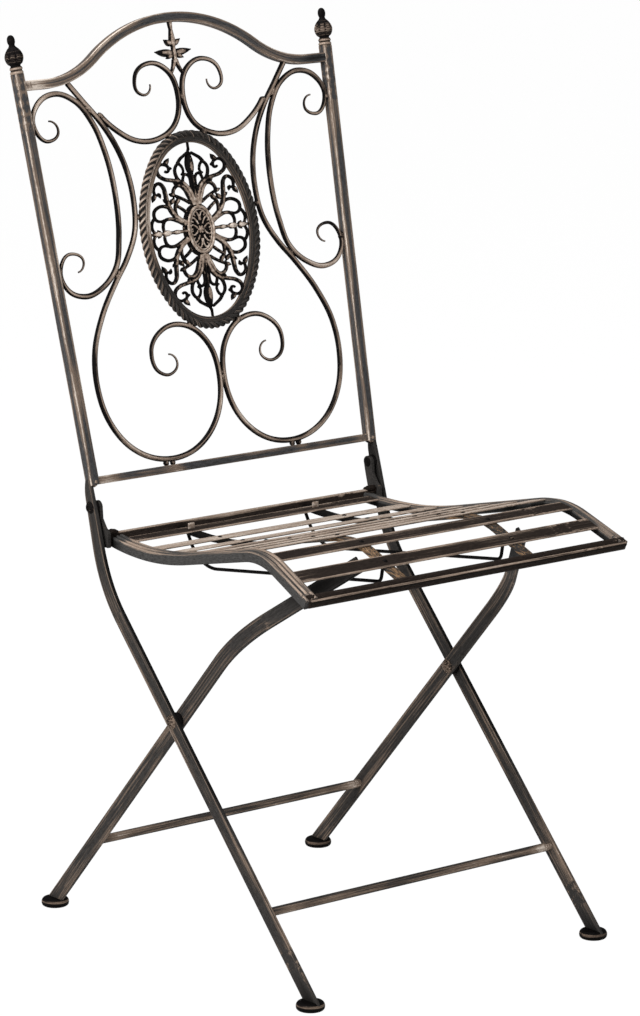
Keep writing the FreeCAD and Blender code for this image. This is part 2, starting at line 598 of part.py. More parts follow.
def fillet_path(points, radii):
    edges, start = [], points[0]
    for p, q, n, r in zip(points, points[1:], points[2:], radii):
        a, b = (p - q).normalize(), (n - q).normalize()
        half_angle = a.getAngle(b) / 2
        t = r / math.tan(half_angle)
        mid = q + (a + b).normalize() * (r / math.sin(half_angle) - r)
        edges += [Part.makeLine(start, q + a * t), Part.Arc(q + a * t, mid, q + b * t).toShape()]
        start = q + b * t
    return Part.Wire(edges + [Part.makeLine(start, points[-1])])


def under_support(u):
    z, a = profile(u + SEAT_REAR_Y)
    return z + (support_top - SUPPORT_T) / math.cos(a) - 0.2


guide = fillet_path([V(WIRE_X, -200, under_support(200)), V(WIRE_X, -196, 411.3), V(WIRE_X, 97, 372.3),
                     V(WIRE_X, 118, under_support(-118))], (7.0, 45.0))
export_pair("guide_wire", tube(guide, WIRE_R))

# Hinge ears beside the front leg bars
EAR_REAR = [(115, 404.5), (131.5, 404.5), (134.5, 418), (138.5, 432), (HINGE_Y + EAR_R, HINGE_Z)]
EAR_FRONT = [(HINGE_Y - EAR_R, HINGE_Z), (127.5, 433), (121, 424), (115, 420)]
ear_low = [V(EAR_X, y, z) for y, z in EAR_REAR]
ear_high = [V(EAR_X, y, z) for y, z in EAR_FRONT]
ear_top = V(EAR_X, HINGE_Y, HINGE_Z + EAR_R)
ear_edges = Part.makePolygon(ear_low).Edges + [Part.Arc(ear_low[-1], ear_top, ear_high[0]).toShape()]
ear_edges += Part.makePolygon(ear_high + ear_low[:1]).Edges
ear = Part.Face(Part.Wire(ear_edges)).extrude(X * EAR_T).cut(cyl(SCREW_R + RUN, hinge + X * 100, hinge + X * 300))
export_pair("hinge_ear", ear)
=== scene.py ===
# Folding garden chair in brushed painted iron. Lengths are millimetres until a piece is set in its place.
import math
import bmesh
import bpy
from mathutils import Matrix, Vector


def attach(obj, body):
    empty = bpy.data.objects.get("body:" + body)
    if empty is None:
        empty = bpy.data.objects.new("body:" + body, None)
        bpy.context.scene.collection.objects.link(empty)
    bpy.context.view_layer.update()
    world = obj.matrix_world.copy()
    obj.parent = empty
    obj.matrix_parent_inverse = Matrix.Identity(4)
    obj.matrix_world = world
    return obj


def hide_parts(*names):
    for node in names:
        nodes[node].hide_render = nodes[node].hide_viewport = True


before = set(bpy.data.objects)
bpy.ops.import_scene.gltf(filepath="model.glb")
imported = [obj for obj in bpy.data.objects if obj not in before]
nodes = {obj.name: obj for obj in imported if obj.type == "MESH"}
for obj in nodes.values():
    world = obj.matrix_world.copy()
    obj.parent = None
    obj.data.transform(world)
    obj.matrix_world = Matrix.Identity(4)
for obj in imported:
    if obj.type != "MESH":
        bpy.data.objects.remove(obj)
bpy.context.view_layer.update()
MM = 0.001
SEAM = 1e-6                         # gap closed in a finished piece, in metres
ROUND_ANGLE, ROD_ANGLE = 38, 60     # degrees, below which an edge is shaded round
CAST_ANGLE, TURNED_ANGLE, FASTENER_ANGLE = 70, 50, 30

# Back: coordinates (x, s) lie in the leaning plane, s runs up from the bottom rail
LEAN = math.radians(13.43)
BACK_Y, BACK_Z = 138.7, 470.5
STILE, STILE_EDGE = 11.0, 1.6
STILE_X0, STILE_X1 = 183.0, 200.5
STILE_LOW, STILE_TOP = -4.0, 420.0
RAIL, RAIL_EDGE = 10.0, 1.4
RAIL_S, RAIL_FLAT_X = 407.5, 170.0
RAIL_DIP_R, RAIL_CROWN_R = 108.0, 174.0
BOTTOM_RAIL, BOTTOM_EDGE = 8.0, 1.0
RAIL_BITE = 0.5                     # the rails' ends run this far into the posts
ROD_R = 3.0
TIP = 0.30                          # share of the rod's radius left at a curl's tip
MEDAL_S = 241.5
ROPE_A, ROPE_B, ROPE_END_R = 73.0, 100.5, 58.0
ROPE_R, ROPE_STRANDS, ROPE_TURNS = 4.0, 3, 25
BAND_MID, BAND_W, BAND_T, BAND_EDGE = -5.6, 7.0, 4.0, 1.2
BOSS_A, BOSS_B, BOSS_END_R = 17.5, 25.0, 13.5
BOSS_FLOOR, BOSS_BACK = 1.6, -2.4
FINIAL = ((6.6, 0.4), (7.0, 2.0), (5.9, 3.8), (6.8, 5.6), (6.0, 7.4), (5.2, 8.4), (7.6, 11.0), (9.4, 15.0),
          (9.7, 18.0), (8.6, 22.0), (6.0, 26.0), (3.6, 28.6), (3.1, 30.0), (3.8, 32.0), (4.1, 35.0),
          (3.2, 38.4), (1.5, 40.1))
FINIAL_BASE_R, FINIAL_H, FINIAL_SIDES, FINIAL_GRAIN_R = 6.4, 40.4, 64, 8.0
BULB_LOW, BULB_TOP, BULB_LOBES, BULB_CREASE = 8.4, 28.6, 8, 0.16

# Legs
BAR_W, BAR_T, BAR_EDGE = 17.0, 4.0, 0.9
LEG_RISE, TAPER, TRIM = 6.0, 85.0, 5.5  # the front leg bar runs up beside the post and narrows there
SHOULDER, SHOULDER_RUN = 4.5, 18.0  # its rear edge curves in to the post
FRONT_X, REAR_X = 187.0, 178.0
CROSS_Z = 246.3
FRONT_END_Y, REAR_END_Y = -224.0, 217.5
FRONT_FOOT_Y, REAR_FOOT_Y = -221.0, 219.6
FRONT_BEND_R, REAR_BEND_R = 150.0, 150.0
REAR_BEND_Z = 347.5
SLIDE = Vector((109.0, -190.0, 427.8))
FOOT_H, FOOT_SIDES, FOOT_GRAIN_R = 9.0, 48, 14.0
FOOT = ((12.2, 0.0), (13.8, 1.2), (14.5, 3.6), (14.2, 6.0), (12.9, 8.0), (10.6, 8.9))
LEG_SINK, LEG_END_Z = 2.5, 7.0      # the bars run down into the feet, where they are cut level
STRETCHER_R = 4.5
FRONT_STRETCHER_Z, REAR_STRETCHER_Z = 83.0, 87.0

# Seat: d is the distance forward of the rear corner
SEAT_REAR_X, SEAT_REAR_Y = 172.9, 120.5
SEAT_YAW = math.radians(5.69)
RAIL_W, RAIL_H, BEAD_R, RAIL_STEP = 14.0, 9.0, 2.25, 1.0
SEAT_LOW_Z, DIP_R, DIP_D0, DIP_D1 = 412.2, 440.0, 45.0, 140.0
HUMP_R, HUMP_D = 95.0, 252.0
NOSE = math.radians(21.8)
SEAT_END_D, RAIL_OVERRUN = 359.0, 5.0
NOSE_R, NOSE_A, NOSE_B = 2.2, 2.75, 0.4
NOSE_HALF, NOSE_SET, NOSE_INSET = 5.0, 1.5, 4.0
REAR_RAIL_T, REAR_RAIL_H, REAR_RAIL_EDGE, REAR_RAIL_Z = 5.0, 15.0, 1.8, 411.0
SLAT_U = (207.5, 171.0, 133.0, 95.0, 57.0, 19.0, -19.0, -57.0, -104.0)
SLAT_W, SLAT_T, SLAT_EDGE, SLAT_BITE = 16.5, 1.6, 0.6, 1.2
FRONT_SLATS, FRONT_SLAT_W = 3, 19.0
LUG_Y, LUG_W, LUG_H, LUG_T = 106.0, 8.0, 6.0, 1.6
LUG_SINK, LUG_EDGE = 1.0, 0.6
SUPPORT_X = 82.0
EAR_X = 177.5


def basis(origin, ex, ey):
    ex, ey = Vector(ex).normalized(), Vector(ey).normalized()
    ez = ex.cross(ey)
    m = Matrix((ex, ey, ez)).transposed().to_4x4()
    m.translation = origin
    return m


UP = Vector((0, math.sin(LEAN), math.cos(LEAN)))
BACK = basis((0, BACK_Y, BACK_Z), (1, 0, 0), UP)
# Side plane: local X is Y of the chair, local Y is Z
SIDE_PLANE = basis((0, 0, 0), (0, 1, 0), (0, 0, 1))


# Handling of objects
def pick(*objects):
    bpy.ops.object.select_all(action="DESELECT")
    for o in objects:
        o.select_set(True)
    bpy.context.view_layer.objects.active = objects[0]


def in_edit(obj, *steps):
    pick(obj)
    bpy.ops.object.mode_set(mode="EDIT")
    bpy.ops.mesh.select_all(action="SELECT")
    for step in steps:
        step()
    bpy.ops.object.mode_set(mode="OBJECT")


# Closes seams and turns the faces outward
def merged(obj, gap=SEAM):
    in_edit(obj, lambda: bpy.ops.mesh.remove_doubles(threshold=gap),
            lambda: bpy.ops.mesh.normals_make_consistent(inside=False))
    shell = bmesh.new()
    shell.from_mesh(obj.data)
    if shell.calc_volume(signed=True) < 0:
        in_edit(obj, bpy.ops.mesh.flip_normals)
    shell.free()
    return obj


def joined(name, parts):
    pick(*parts)
    bpy.ops.object.join()
    parts[0].name = name
    return parts[0]


def smooth(obj, angle):
    pick(obj)
    bpy.ops.object.shade_smooth_by_angle(angle=math.radians(angle))


# Sets a piece modelled in millimetres in its place
def settle(obj, place):
    pick(obj)
    obj.matrix_world = Matrix.Scale(MM, 4) @ place
    bpy.ops.object.transform_apply(location=True, rotation=True, scale=True)
    return obj


def named(obj, name):
    obj.name = name
    obj.data.name = name
    return obj


# The twin's pattern starts elsewhere along the same streaks
TWIN_SHIFT = 2700.0


def mirror_copy(obj, name):
    pick(obj)
    bpy.ops.object.duplicate()
    twin = named(bpy.context.object, name)
    twin.scale.x = -1
    bpy.ops.object.transform_apply(location=False, rotation=False, scale=True)
    for item in twin.data.attributes["grain"].data:
        item.vector.x += TWIN_SHIFT
    return merged(twin)


# Sections: closed outlines (a, b), a in the plane of the path, b across it
def round_section(r, sides=14):
    turns = [2 * math.pi * k / sides for k in range(sides)]
    return [(r * math.cos(t), r * math.sin(t)) for t in turns]


def box_section(w, h, r, turn=0.0, corner=3, spacing=3.0):
    pts = []
    for i, (sx, sy) in enumerate(((1, 1), (-1, 1), (-1, -1), (1, -1))):
        cx, cy = sx * (w / 2 - r), sy * (h / 2 - r)
        for k in range(corner + 1):
            t = math.pi / 2 * (i + k / corner)
            pts.append((cx + r * math.cos(t), cy + r * math.sin(t)))
        run = (w if i % 2 == 0 else h) - 2 * r
        steps = max(1, round(run / spacing))
        ax, ay = pts[-1]
        bx, by = (ax - run * sx, ay) if i % 2 == 0 else (ax, ay - run * sy)
        pts += [(ax + (bx - ax) * j / steps, ay + (by - ay) * j / steps) for j in range(1, steps)]
    c, s = math.cos(turn), math.sin(turn)
    return [(c * a - s * b, s * a + c * b) for a, b in pts]


def rope_section(strands, per_strand=8):
    core, strand_r = ROPE_R * 0.49, ROPE_R * 0.51
    pts = []
    for k in range(strands * per_strand):
        t = 2 * math.pi * k / (strands * per_strand)
        f = (t % (2 * math.pi / strands)) - math.pi / strands
        r = core * math.cos(f) + math.sqrt(max(strand_r ** 2 - (core * math.sin(f)) ** 2, 0.2))
        pts.append((r * math.cos(t), r * math.sin(t)))
    return pts


def ramped(value, low, high):
    return min(1.0, max(0.0, (value - low) / (high - low)))


# Wear of a section by place: bars are rubbed most at their corners
def corner_wear(section, sharp=1.0):
    far = [math.hypot(a, b) for a, b in section]
    low, high = min(far), max(far)
    return [((f - low) / (high - low)) ** sharp for f in far]


# A brush dragged along a rod leaves its front, and less its back, pale. Its sides are painted darker than the
# paint, as shade.
def rod_wear_and_shade(section):
    high = max(b for a, b in section)
    return [(b / high) ** 2 * (1.5 if b > 0 else 0.9) - 0.55 for a, b in section]


# Flat bar: the broad faces are brushed, most along their edges, and the narrow ones are painted black as
# shade
def bar_wear_and_shade(section):
    far = max(a for a, b in section)
    broad = [0.25 + 0.45 * ramped(abs(a), far - 4.5, far - 1.5) for a, b in section]
    return [-0.8 if abs(a) > far - 0.5 else w for (a, b), w in zip(section, broad)]


# Pairs of a piece's vertices and their values of wear and painted shade
def brushed_and_shaded(obj):
    return zip(obj.data.vertices, obj.data.attributes["wear_and_shade"].data)


# More of the brush around chosen places along a straight piece, also used to paint light and shade there:
# place, spread and amount
def rub_and_light(obj, spots):
    for v, worn_and_shaded in brushed_and_shaded(obj):
        worn_and_shaded.value += sum(much * math.exp(-((v.co.x - x) / spread) ** 2) for x, spread, much in spots)


# Paths: lists of (x, y) along a curve through chosen points, near to arcs, or along arcs and lines
def through(points, step):
    pts = [Vector(p) for p in points]
    gaps = [(q - p).length for p, q in zip(pts, pts[1:])]
    chords = [(q - p) / g for p, q, g in zip(pts, pts[1:], gaps)]
    ways = [(chords[i - 1] * gaps[i] + chords[i] * gaps[i - 1]).normalized() for i in range(1, len(gaps))]
    if ways:
        ways = [ways[0].reflect(chords[0]) * -1] + ways + [ways[-1].reflect(chords[-1]) * -1]
    else:
        ways = chords * 2
    path, share = [], []
    for i, g in enumerate(gaps):
        pull = g / math.cos(ways[i].angle(ways[i + 1]) / 4) ** 2
        n = max(2, round(g / step))
        for j in range(n):
            t = j / n
            h1, h2 = 2 * t ** 3 - 3 * t ** 2 + 1, t ** 3 - 2 * t ** 2 + t
            h3, h4 = 3 * t ** 2 - 2 * t ** 3, t ** 3 - t ** 2
            path.append(pts[i] * h1 + ways[i] * (h2 * pull) + pts[i + 1] * h3 + ways[i + 1] * (h4 * pull))
            share.append(i + t)
    return path + [pts[-1]], share + [len(gaps)]


def arc(centre, r, start, end, step=3.0):
    n = max(3, round(abs(end - start) * r / step))
    return [Vector((centre[0] + r * math.cos(start + (end - start) * i / n),
                    centre[1] + r * math.sin(start + (end - start) * i / n))) for i in range(n + 1)]


def line(p, q, step=30.0):
    p, q = Vector(p), Vector(q)
    n = max(1, round((q - p).length / step))
    return [p.lerp(q, i / n) for i in range(n + 1)]


def chain(*runs):
    path = list(runs[0])
    for run in runs[1:]:
        path += run[1:] if (run[0] - path[-1]).length < 1e-3 else run
    return path


# Oval of four arcs, a wide and b high from its centre, moved outward by off
def oval(a, b, end_r, off=0.0, step=2.0):
    side_r = ((b - end_r) ** 2 + a * a - end_r ** 2) / (2 * (a - end_r))
    turn = math.atan2(b - end_r, side_r - a)
    path = []
    for k in (0, 1):
        flip = -1 if k else 1
        way = math.pi * k
        path += arc((flip * (a - side_r), 0), side_r + off, way - turn, way + turn, step)[:-1]
        path += arc((0, flip * (b - end_r)), end_r + off, way + turn, way + math.pi - turn, step)[:-1]
    return path


def set_spline(data, points, closed, radii=None, tilts=None):
    data.splines.clear()
    spline = data.splines.new("POLY")
    spline.points.add(len(points) - 1)
    for i, (point, p) in enumerate(zip(spline.points, points)):
        point.co = (p[0], p[1], 0, 1)
        point.radius = radii[i] if radii else 1.0
        point.tilt = tilts[i] if tilts else 0.0
    spline.use_cyclic_u = closed


# Each swept piece takes its own stretch of the brush pattern, by its name
PATTERN_GAP, PATTERN_COUNT = 97.0, 61


# Sweeps a section along a flat path. The grain attribute holds the straightened place on the bar
# (along, across, through), and wear_and_shade says where the brush touched and, below zero, where shade is
# painted.
def sweep(name, path, section, wear_and_shade, radii=None, closed=False, tilts=None):
    bpy.ops.object.select_all(action="DESELECT")
    bpy.ops.curve.primitive_bezier_circle_add()
    ring = bpy.context.object
    ring.data.dimensions = "2D"
    set_spline(ring.data, section, True)
    bpy.ops.curve.primitive_nurbs_path_add()
    bar = bpy.context.object
    bar.data.dimensions = "3D" if tilts else "2D"
    bar.data.twist_mode = "Z_UP"
    set_spline(bar.data, path, closed, radii, tilts)
    bar.data.bevel_mode = "OBJECT"
    bar.data.bevel_object = ring
    bar.data.use_fill_caps = not closed
    pick(bar)
    bpy.ops.object.convert(target="MESH")
    bpy.data.objects.remove(ring)
    named(bar, name)
    count = len(section)
    along = [0.0]
    for p, q in zip(path, path[1:]):
        along.append(along[-1] + (q - p).length)
    bar.data.attributes.new("grain", "FLOAT_VECTOR", "POINT")
    bar.data.attributes.new("wear_and_shade", "FLOAT", "POINT")
    grain, worn_and_shaded = bar.data.attributes["grain"], bar.data.attributes["wear_and_shade"]
    shift = PATTERN_GAP * (sum(map(ord, name)) % PATTERN_COUNT)
    for i in range(len(bar.data.vertices)):
        ring_i, k = divmod(i, count)
        if ring_i >= len(path):
            # the two end caps come after the rings
            ring_i = 0 if ring_i == len(path) else len(path) - 1
        scale = radii[ring_i] if radii else 1.0
        a, b = section[k]
        grain.data[i].vector = (along[ring_i] + shift, a * scale, b * scale)
        worn_and_shaded.data[i].value = wear_and_shade[k]
    return bar


# Turned piece from a half outline (radius, height)
def turned(name, outline, steps):
    bpy.ops.object.select_all(action="DESELECT")
    bpy.ops.curve.primitive_nurbs_path_add()
    obj = bpy.context.object
    set_spline(obj.data, outline, False)
    bpy.ops.object.convert(target="MESH")
    screw = obj.modifiers.new("turn", "SCREW")
    screw.axis = "Y"
    screw.steps = screw.render_steps = steps
    screw.use_merge_vertices = True
    screw.merge_threshold = 0.01
    bpy.ops.object.modifier_apply(modifier="turn")
    return merged(named(obj, name), 0.005)


# Uneven blob, as a weld leaves it
def lump(centre, size, turn=0.0):
    bpy.ops.object.select_all(action="DESELECT")
    bpy.ops.mesh.primitive_ico_sphere_add(subdivisions=3, radius=1.0)
    obj = bpy.context.object
    c, s = math.cos(turn), math.sin(turn)
    for v in obj.data.vertices:
        x, y, z = v.co
        rough = 1 + 0.10 * math.sin(9 * x + 3 * centre[0]) * math.sin(8 * y + 2 * centre[1])
        rough += 0.06 * math.sin(13 * z + x * 5)
        x, y, z = x * size[0] * rough, y * size[1] * rough, z * size[2] * rough
        v.co = (centre[0] + c * x - s * y, centre[1] + s * x + c * y, z)
    return obj


# Cast work: strokes with a rounded ridge in front, melted into one casting
RIDGE = [(math.cos(math.pi * k / 8), 1.1 * math.sin(math.pi * k / 8)) for k in range(9)]
RIDGE += [(-1, -0.9), (1, -0.9)]
UNWORN = [0] * len(RIDGE)


def lifted(obj, z):
    pick(obj)
    obj.location.z = z
    bpy.ops.object.transform_apply(location=True, rotation=False, scale=False)
    return obj


def cast_stroke(points, start, end, z=0.0):
    path, shares = through(points, 1.3)
    sizes = [(start + (end - start) * s / shares[-1]) / 2 for s in shares]
    return lifted(sweep("stroke", path, RIDGE, UNWORN, radii=sizes), z)


def cast_leaf(root, tip, half, belly=0.4, z=0.0):
    steps = 12
    path = line(root, tip, (Vector(tip) - Vector(root)).length / steps)
    bulge = math.log(0.5) / math.log(belly)
    sizes = [half * max(0.14, math.sin(math.pi * (i / steps) ** bulge) ** 0.8) for i in range(steps + 1)]
    return lifted(sweep("leaf", path, RIDGE, UNWORN, radii=sizes), z)


def flipped(obj, x, y):
    pick(obj)
    bpy.ops.object.duplicate()
    twin = bpy.context.object
    twin.scale = (x, y, 1)
    bpy.ops.object.transform_apply(location=False, rotation=False, scale=True)
    return merged(twin, 1e-4)


# Grain and wear of a piece that isn't swept, from its own place in millimetres; wear below zero is painted
# shade
def mark(obj, wear_and_shade):
    for label, kind in (("grain", "FLOAT_VECTOR"), ("wear_and_shade", "FLOAT")):
        if label in obj.data.attributes:
            obj.data.attributes.remove(obj.data.attributes[label])
        obj.data.attributes.new(label, kind, "POINT")
    grain, worn_and_shaded = obj.data.attributes["grain"], obj.data.attributes["wear_and_shade"]
    for i, v in enumerate(obj.data.vertices):
        grain.data[i].vector = (v.co.x * 20, v.co.y * 0.5, v.co.z * 0.5)
        worn_and_shaded.data[i].value = wear_and_shade(v.co)
    return obj


# Brush strokes run round a turned piece
def ringed(obj, r):
    for v, item in zip(obj.data.vertices, obj.data.attributes["grain"].data):
        item.vector = (r * math.atan2(v.co.z, v.co.x), v.co.y, math.hypot(v.co.x, v.co.z))


# One casting of many strokes, rubbed pale from low to high on its front
def cast(name, parts, voxel, low, high):
    obj = named(joined(name, parts), name)
    obj.data.remesh_voxel_size = voxel
    bpy.ops.object.voxel_remesh()
    soft = obj.modifiers.new("soft", "SMOOTH")
    soft.factor, soft.iterations = 0.5, 2
    bpy.ops.object.modifier_apply(modifier="soft")
    return mark(obj, lambda co: ramped(co.z, low, high) if co.z > 0 else 0.25)


# Copy of a construction node with its edges eased
def eased(node_name, width):
    obj = bpy.data.objects.new(node_name + "_piece", nodes[node_name].data.copy())
    bpy.context.scene.collection.objects.link(obj)
    in_edit(obj, lambda: bpy.ops.mesh.remove_doubles(threshold=SEAM),
            lambda: bpy.ops.mesh.dissolve_limited(angle_limit=math.radians(1.5)))
    if width:
        edge = obj.modifiers.new("edge", "BEVEL")
        edge.width, edge.segments, edge.limit_method = width * MM, 2, "ANGLE"
        edge.angle_limit = math.radians(40)
        bpy.ops.object.modifier_apply(modifier="edge")
    return obj


# Materials
def new_group(name, inputs, outputs):
    tree = bpy.data.node_groups.new(name, "ShaderNodeTree")
    for kind, label, value in inputs:
        socket = tree.interface.new_socket(label, in_out="INPUT", socket_type="NodeSocket" + kind)
        socket.default_value = value
    for kind, label in outputs:
        tree.interface.new_socket(label, in_out="OUTPUT", socket_type="NodeSocket" + kind)
    return tree, tree.nodes.new("NodeGroupInput"), tree.nodes.new("NodeGroupOutput")


def node(tree, kind, links=None, **values):
    n = tree.nodes.new("ShaderNode" + kind)
    inputs = values.pop("inputs", {})
    for key, value in values.items():
        setattr(n, key, value)
    for key, value in inputs.items():
        n.inputs[key].default_value = value
    for key, source in (links or {}).items():
        tree.links.new(source, n.inputs[key])
    return n


def maths(tree, operation, a, b):
    n = tree.nodes.new("ShaderNodeMath")
    n.operation = operation
    for i, v in enumerate((a, b)):
        if isinstance(v, (int, float)):
            n.inputs[i].default_value = v
        else:
            tree.links.new(v, n.inputs[i])
    return n.outputs[0]


def noise(tree, vector, stretch, detail, rough=0.6):
    scaled = node(tree, "VectorMath", {0: vector}, operation="MULTIPLY")
    scaled.inputs[1].default_value = stretch
    n = node(tree, "TexNoise", {"Vector": scaled.outputs[0]},
             inputs={"Scale": 1.0, "Detail": detail, "Roughness": rough})
    return n.outputs["Fac"]


def ramp(tree, value, low, high):
    n = node(tree, "MapRange", {"Value": value}, interpolation_type="SMOOTHSTEP")
    n.inputs["From Min"].default_value = low
    n.inputs["From Max"].default_value = high
    return n.outputs["Result"]


def blend(tree, factor, a, b):
    n = node(tree, "Mix", data_type="RGBA")
    tree.links.new(factor, n.inputs[0])
    tree.links.new(a, n.inputs[6])
    tree.links.new(b, n.inputs[7])
    return n.outputs[2]


# Dark paint with bronze dragged over it: long streaks, broad patches and small flecks. Wear below zero
# darkens it further as painted shade.
def brushed_paint_and_shade():
    tree, given, put = new_group(
        "brushed_paint_and_shade",
        (("Vector", "Grain", (0, 0, 0)), ("Float", "Wear_and_shade", 0.5), ("Float", "Cover", 0.0),
         ("Float", "Edge", 0.6), ("Float", "Patch", 0.8), ("Color", "Paint", (0.04, 0.038, 0.036, 1)),
         ("Color", "Bronze", (0.2, 0.14, 0.1, 1)), ("Color", "Pale", (0.5, 0.42, 0.35, 1))),
        (("Color", "Color"), ("Float", "Roughness"), ("Float", "Metal"), ("Float", "Height")))
    grain = given.outputs["Grain"]

    def swing(value, size):
        return maths(tree, "MULTIPLY", maths(tree, "SUBTRACT", value, 0.5), size)

    streak = noise(tree, grain, (0.011, 0.62, 0.62), 5.0, 0.62)
    patch = noise(tree, grain, (0.012, 0.06, 0.06), 2.0)
    fleck = noise(tree, grain, (0.16, 1.1, 1.1), 4.0, 0.7)
    level = maths(tree, "MULTIPLY", given.outputs["Wear_and_shade"], given.outputs["Edge"])
    level = maths(tree, "ADD", level, given.outputs["Cover"])
    level = maths(tree, "ADD", level, swing(patch, given.outputs["Patch"]))
    level = maths(tree, "ADD", level, swing(streak, 2.0))
    level = maths(tree, "ADD", level, swing(fleck, 0.5))
    rubbed = ramp(tree, level, 0.25, 0.75)
    bright = ramp(tree, maths(tree, "ADD", level, swing(fleck, 0.7)), 0.72, 1.3)
    worn_dark = node(tree, "Mix", {0: ramp(tree, fleck, 0.35, 0.7), 6: given.outputs["Paint"]},
                     data_type="RGBA", blend_type="MULTIPLY")
    worn_dark.inputs[7].default_value = (0.4, 0.4, 0.4, 1)
    color = blend(tree, rubbed, worn_dark.outputs[2], given.outputs["Bronze"])
    color = blend(tree, bright, color, given.outputs["Pale"])
    # painted shade: wear below zero scales the colour down toward black
    shade = node(tree, "MapRange", {"Value": given.outputs["Wear_and_shade"]})
    shade.inputs["From Min"].default_value = -1.0
    shade.inputs["From Max"].default_value = 0.0
    shade.inputs["To Min"].default_value = 0.06
    shaded = node(tree, "VectorMath", {0: color, "Scale": shade.outputs["Result"]}, operation="SCALE")
    tree.links.new(shaded.outputs[0], put.inputs["Color"])
    tree.links.new(maths(tree, "ADD", 0.42, maths(tree, "MULTIPLY", fleck, 0.25)), put.inputs["Roughness"])
    tree.links.new(maths(tree, "MULTIPLY", rubbed, 0.3), put.inputs["Metal"])
    relief = maths(tree, "ADD", maths(tree, "MULTIPLY", streak, 0.6), maths(tree, "MULTIPLY", fleck, 0.5))
    tree.links.new(relief, put.inputs["Height"])
    return tree


PAINT_GROUP = brushed_paint_and_shade()
SHEEN_LEVEL = 0.02
RELIEF_DEPTH = 0.0006


# Pieces with own_grain carry their straightened place; the others read their place in the chair
def iron(name, cover, edge, paint, bronze, pale, patch=0.8, own_grain=True, bump=0.12):
    mat = bpy.data.materials.new(name)
    mat.use_nodes = True
    tree = mat.node_tree
    tree.nodes.clear()
    out = tree.nodes.new("ShaderNodeOutputMaterial")
    group = tree.nodes.new("ShaderNodeGroup")
    group.node_tree = PAINT_GROUP
    for label, value in (("Cover", cover), ("Edge", edge), ("Patch", patch), ("Paint", (*paint, 1)),
                         ("Bronze", (*bronze, 1)), ("Pale", (*pale, 1))):
        group.inputs[label].default_value = value
    tree.links.new(node(tree, "Attribute", attribute_name="wear_and_shade").outputs["Fac"], group.inputs["Wear_and_shade"])
    if own_grain:
        place = node(tree, "Attribute", attribute_name="grain").outputs["Vector"]
    else:
        chair = node(tree, "TexCoord").outputs["Object"]
        place = node(tree, "Mapping", {"Vector": chair}, vector_type="TEXTURE",
                     inputs={"Scale": (MM, MM, MM)}).outputs["Vector"]
    tree.links.new(place, group.inputs["Grain"])
    shader = node(tree, "BsdfPrincipled", {"Base Color": group.outputs["Color"],
                                           "Roughness": group.outputs["Roughness"],
                                           "Metallic": group.outputs["Metal"]})
    shader.inputs["Specular IOR Level"].default_value = SHEEN_LEVEL
    relief = node(tree, "Bump", {"Height": group.outputs["Height"]},
                  inputs={"Strength": bump, "Distance": RELIEF_DEPTH})
    tree.links.new(relief.outputs[0], shader.inputs["Normal"])
    tree.links.new(shader.outputs[0], out.inputs[0])
    return mat


SLATE = (0.064, 0.064, 0.066)
CHARCOAL = (0.040, 0.037, 0.035)
BLACK = (0.007, 0.006, 0.006)
BRONZE = (0.18, 0.132, 0.100)
TAN = (0.285, 0.215, 0.168)
PALE = (0.60, 0.52, 0.45)
UMBER = (0.024, 0.018, 0.015)
ASH = (0.060, 0.058, 0.056)
frame_iron = iron("frame_iron", 0.22, 0.75, SLATE, BRONZE, PALE, patch=1.3)
leg_iron = iron("leg_iron", 0.10, 0.55, CHARCOAL, BRONZE, PALE, patch=0.9)
scroll_iron = iron("scroll_iron", -0.08, 0.80, BLACK, TAN, PALE, patch=2.2)
cast_ornament = iron("cast_ornament", -0.10, 0.95, BLACK, TAN, PALE, patch=0.8, bump=0.3)
rope_cast = iron("rope_cast", -0.10, 0.95, CHARCOAL, TAN, PALE, patch=0.8, bump=0.8)
cast_band = iron("cast_band", 0.06, 0.35, CHARCOAL, BRONZE, PALE, patch=0.8, bump=0.9)
slat_iron = iron("slat_iron", 0.42, 0.50, CHARCOAL, TAN, PALE, patch=0.8)
front_slat_iron = iron("front_slat_iron", 0.10, 0.60, UMBER, TAN, PALE, patch=0.9)
rail_iron = iron("rail_iron", -0.18, 0.85, ASH, TAN, PALE, patch=1.2)
edge_iron = iron("edge_iron", -0.22, 0.95, UMBER, TAN, PALE, patch=1.0)
support_iron = iron("support_iron", 0.10, 0.5, CHARCOAL, (0.25, 0.15, 0.08), PALE, patch=0.9)
foot_iron = iron("foot_iron", 0.08, 0.45, BLACK, BRONZE, PALE, patch=0.6)
rivet_iron = iron("rivet_iron", 0.45, 0.0, BLACK, BRONZE, PALE, own_grain=False)
ear_iron = iron("ear_iron", 0.05, 0.0, CHARCOAL, BRONZE, PALE, own_grain=False)
hardware = iron("hardware", 0.10, 0.0, BLACK, BRONZE, PALE, own_grain=False)
dark_iron = iron("dark_iron", -0.30, 0.0, BLACK, BRONZE, PALE, own_grain=False)


# Gives a finished piece its body, its finish and the construction node it stands for
def fit(obj, body, material, stands_for, angle=ROUND_ANGLE):
    smooth(obj, angle)
    obj.data.materials.clear()
    obj.data.materials.append(material)
    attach(obj, body)
    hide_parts(stands_for)


def fit_pair(obj, name, body, material, angle=ROUND_ANGLE):
    obj.name = name + "_right_piece"
    twin = mirror_copy(obj, name + "_left_piece")
    fit(obj, body, material, name + "_right", angle=angle)
    fit(twin, body, material, name + "_left", angle=angle)


def fit_casting(obj, material, stands_for):
    fit(obj, "back_frame", material, stands_for, angle=CAST_ANGLE)


# Back posts, rails and finials
slope = (STILE_X1 - STILE_X0) / RAIL_S


def stile_x(s):
    return STILE_X0 + slope * s


SQUARE = box_section(STILE, STILE, STILE_EDGE)
post_line = line((stile_x(STILE_LOW), STILE_LOW), (stile_x(STILE_TOP), STILE_TOP))
post = sweep("stile", post_line, SQUARE, corner_wear(SQUARE, 2.0))
fit_pair(merged(settle(post, BACK)), "stile", "back_frame", frame_iron)

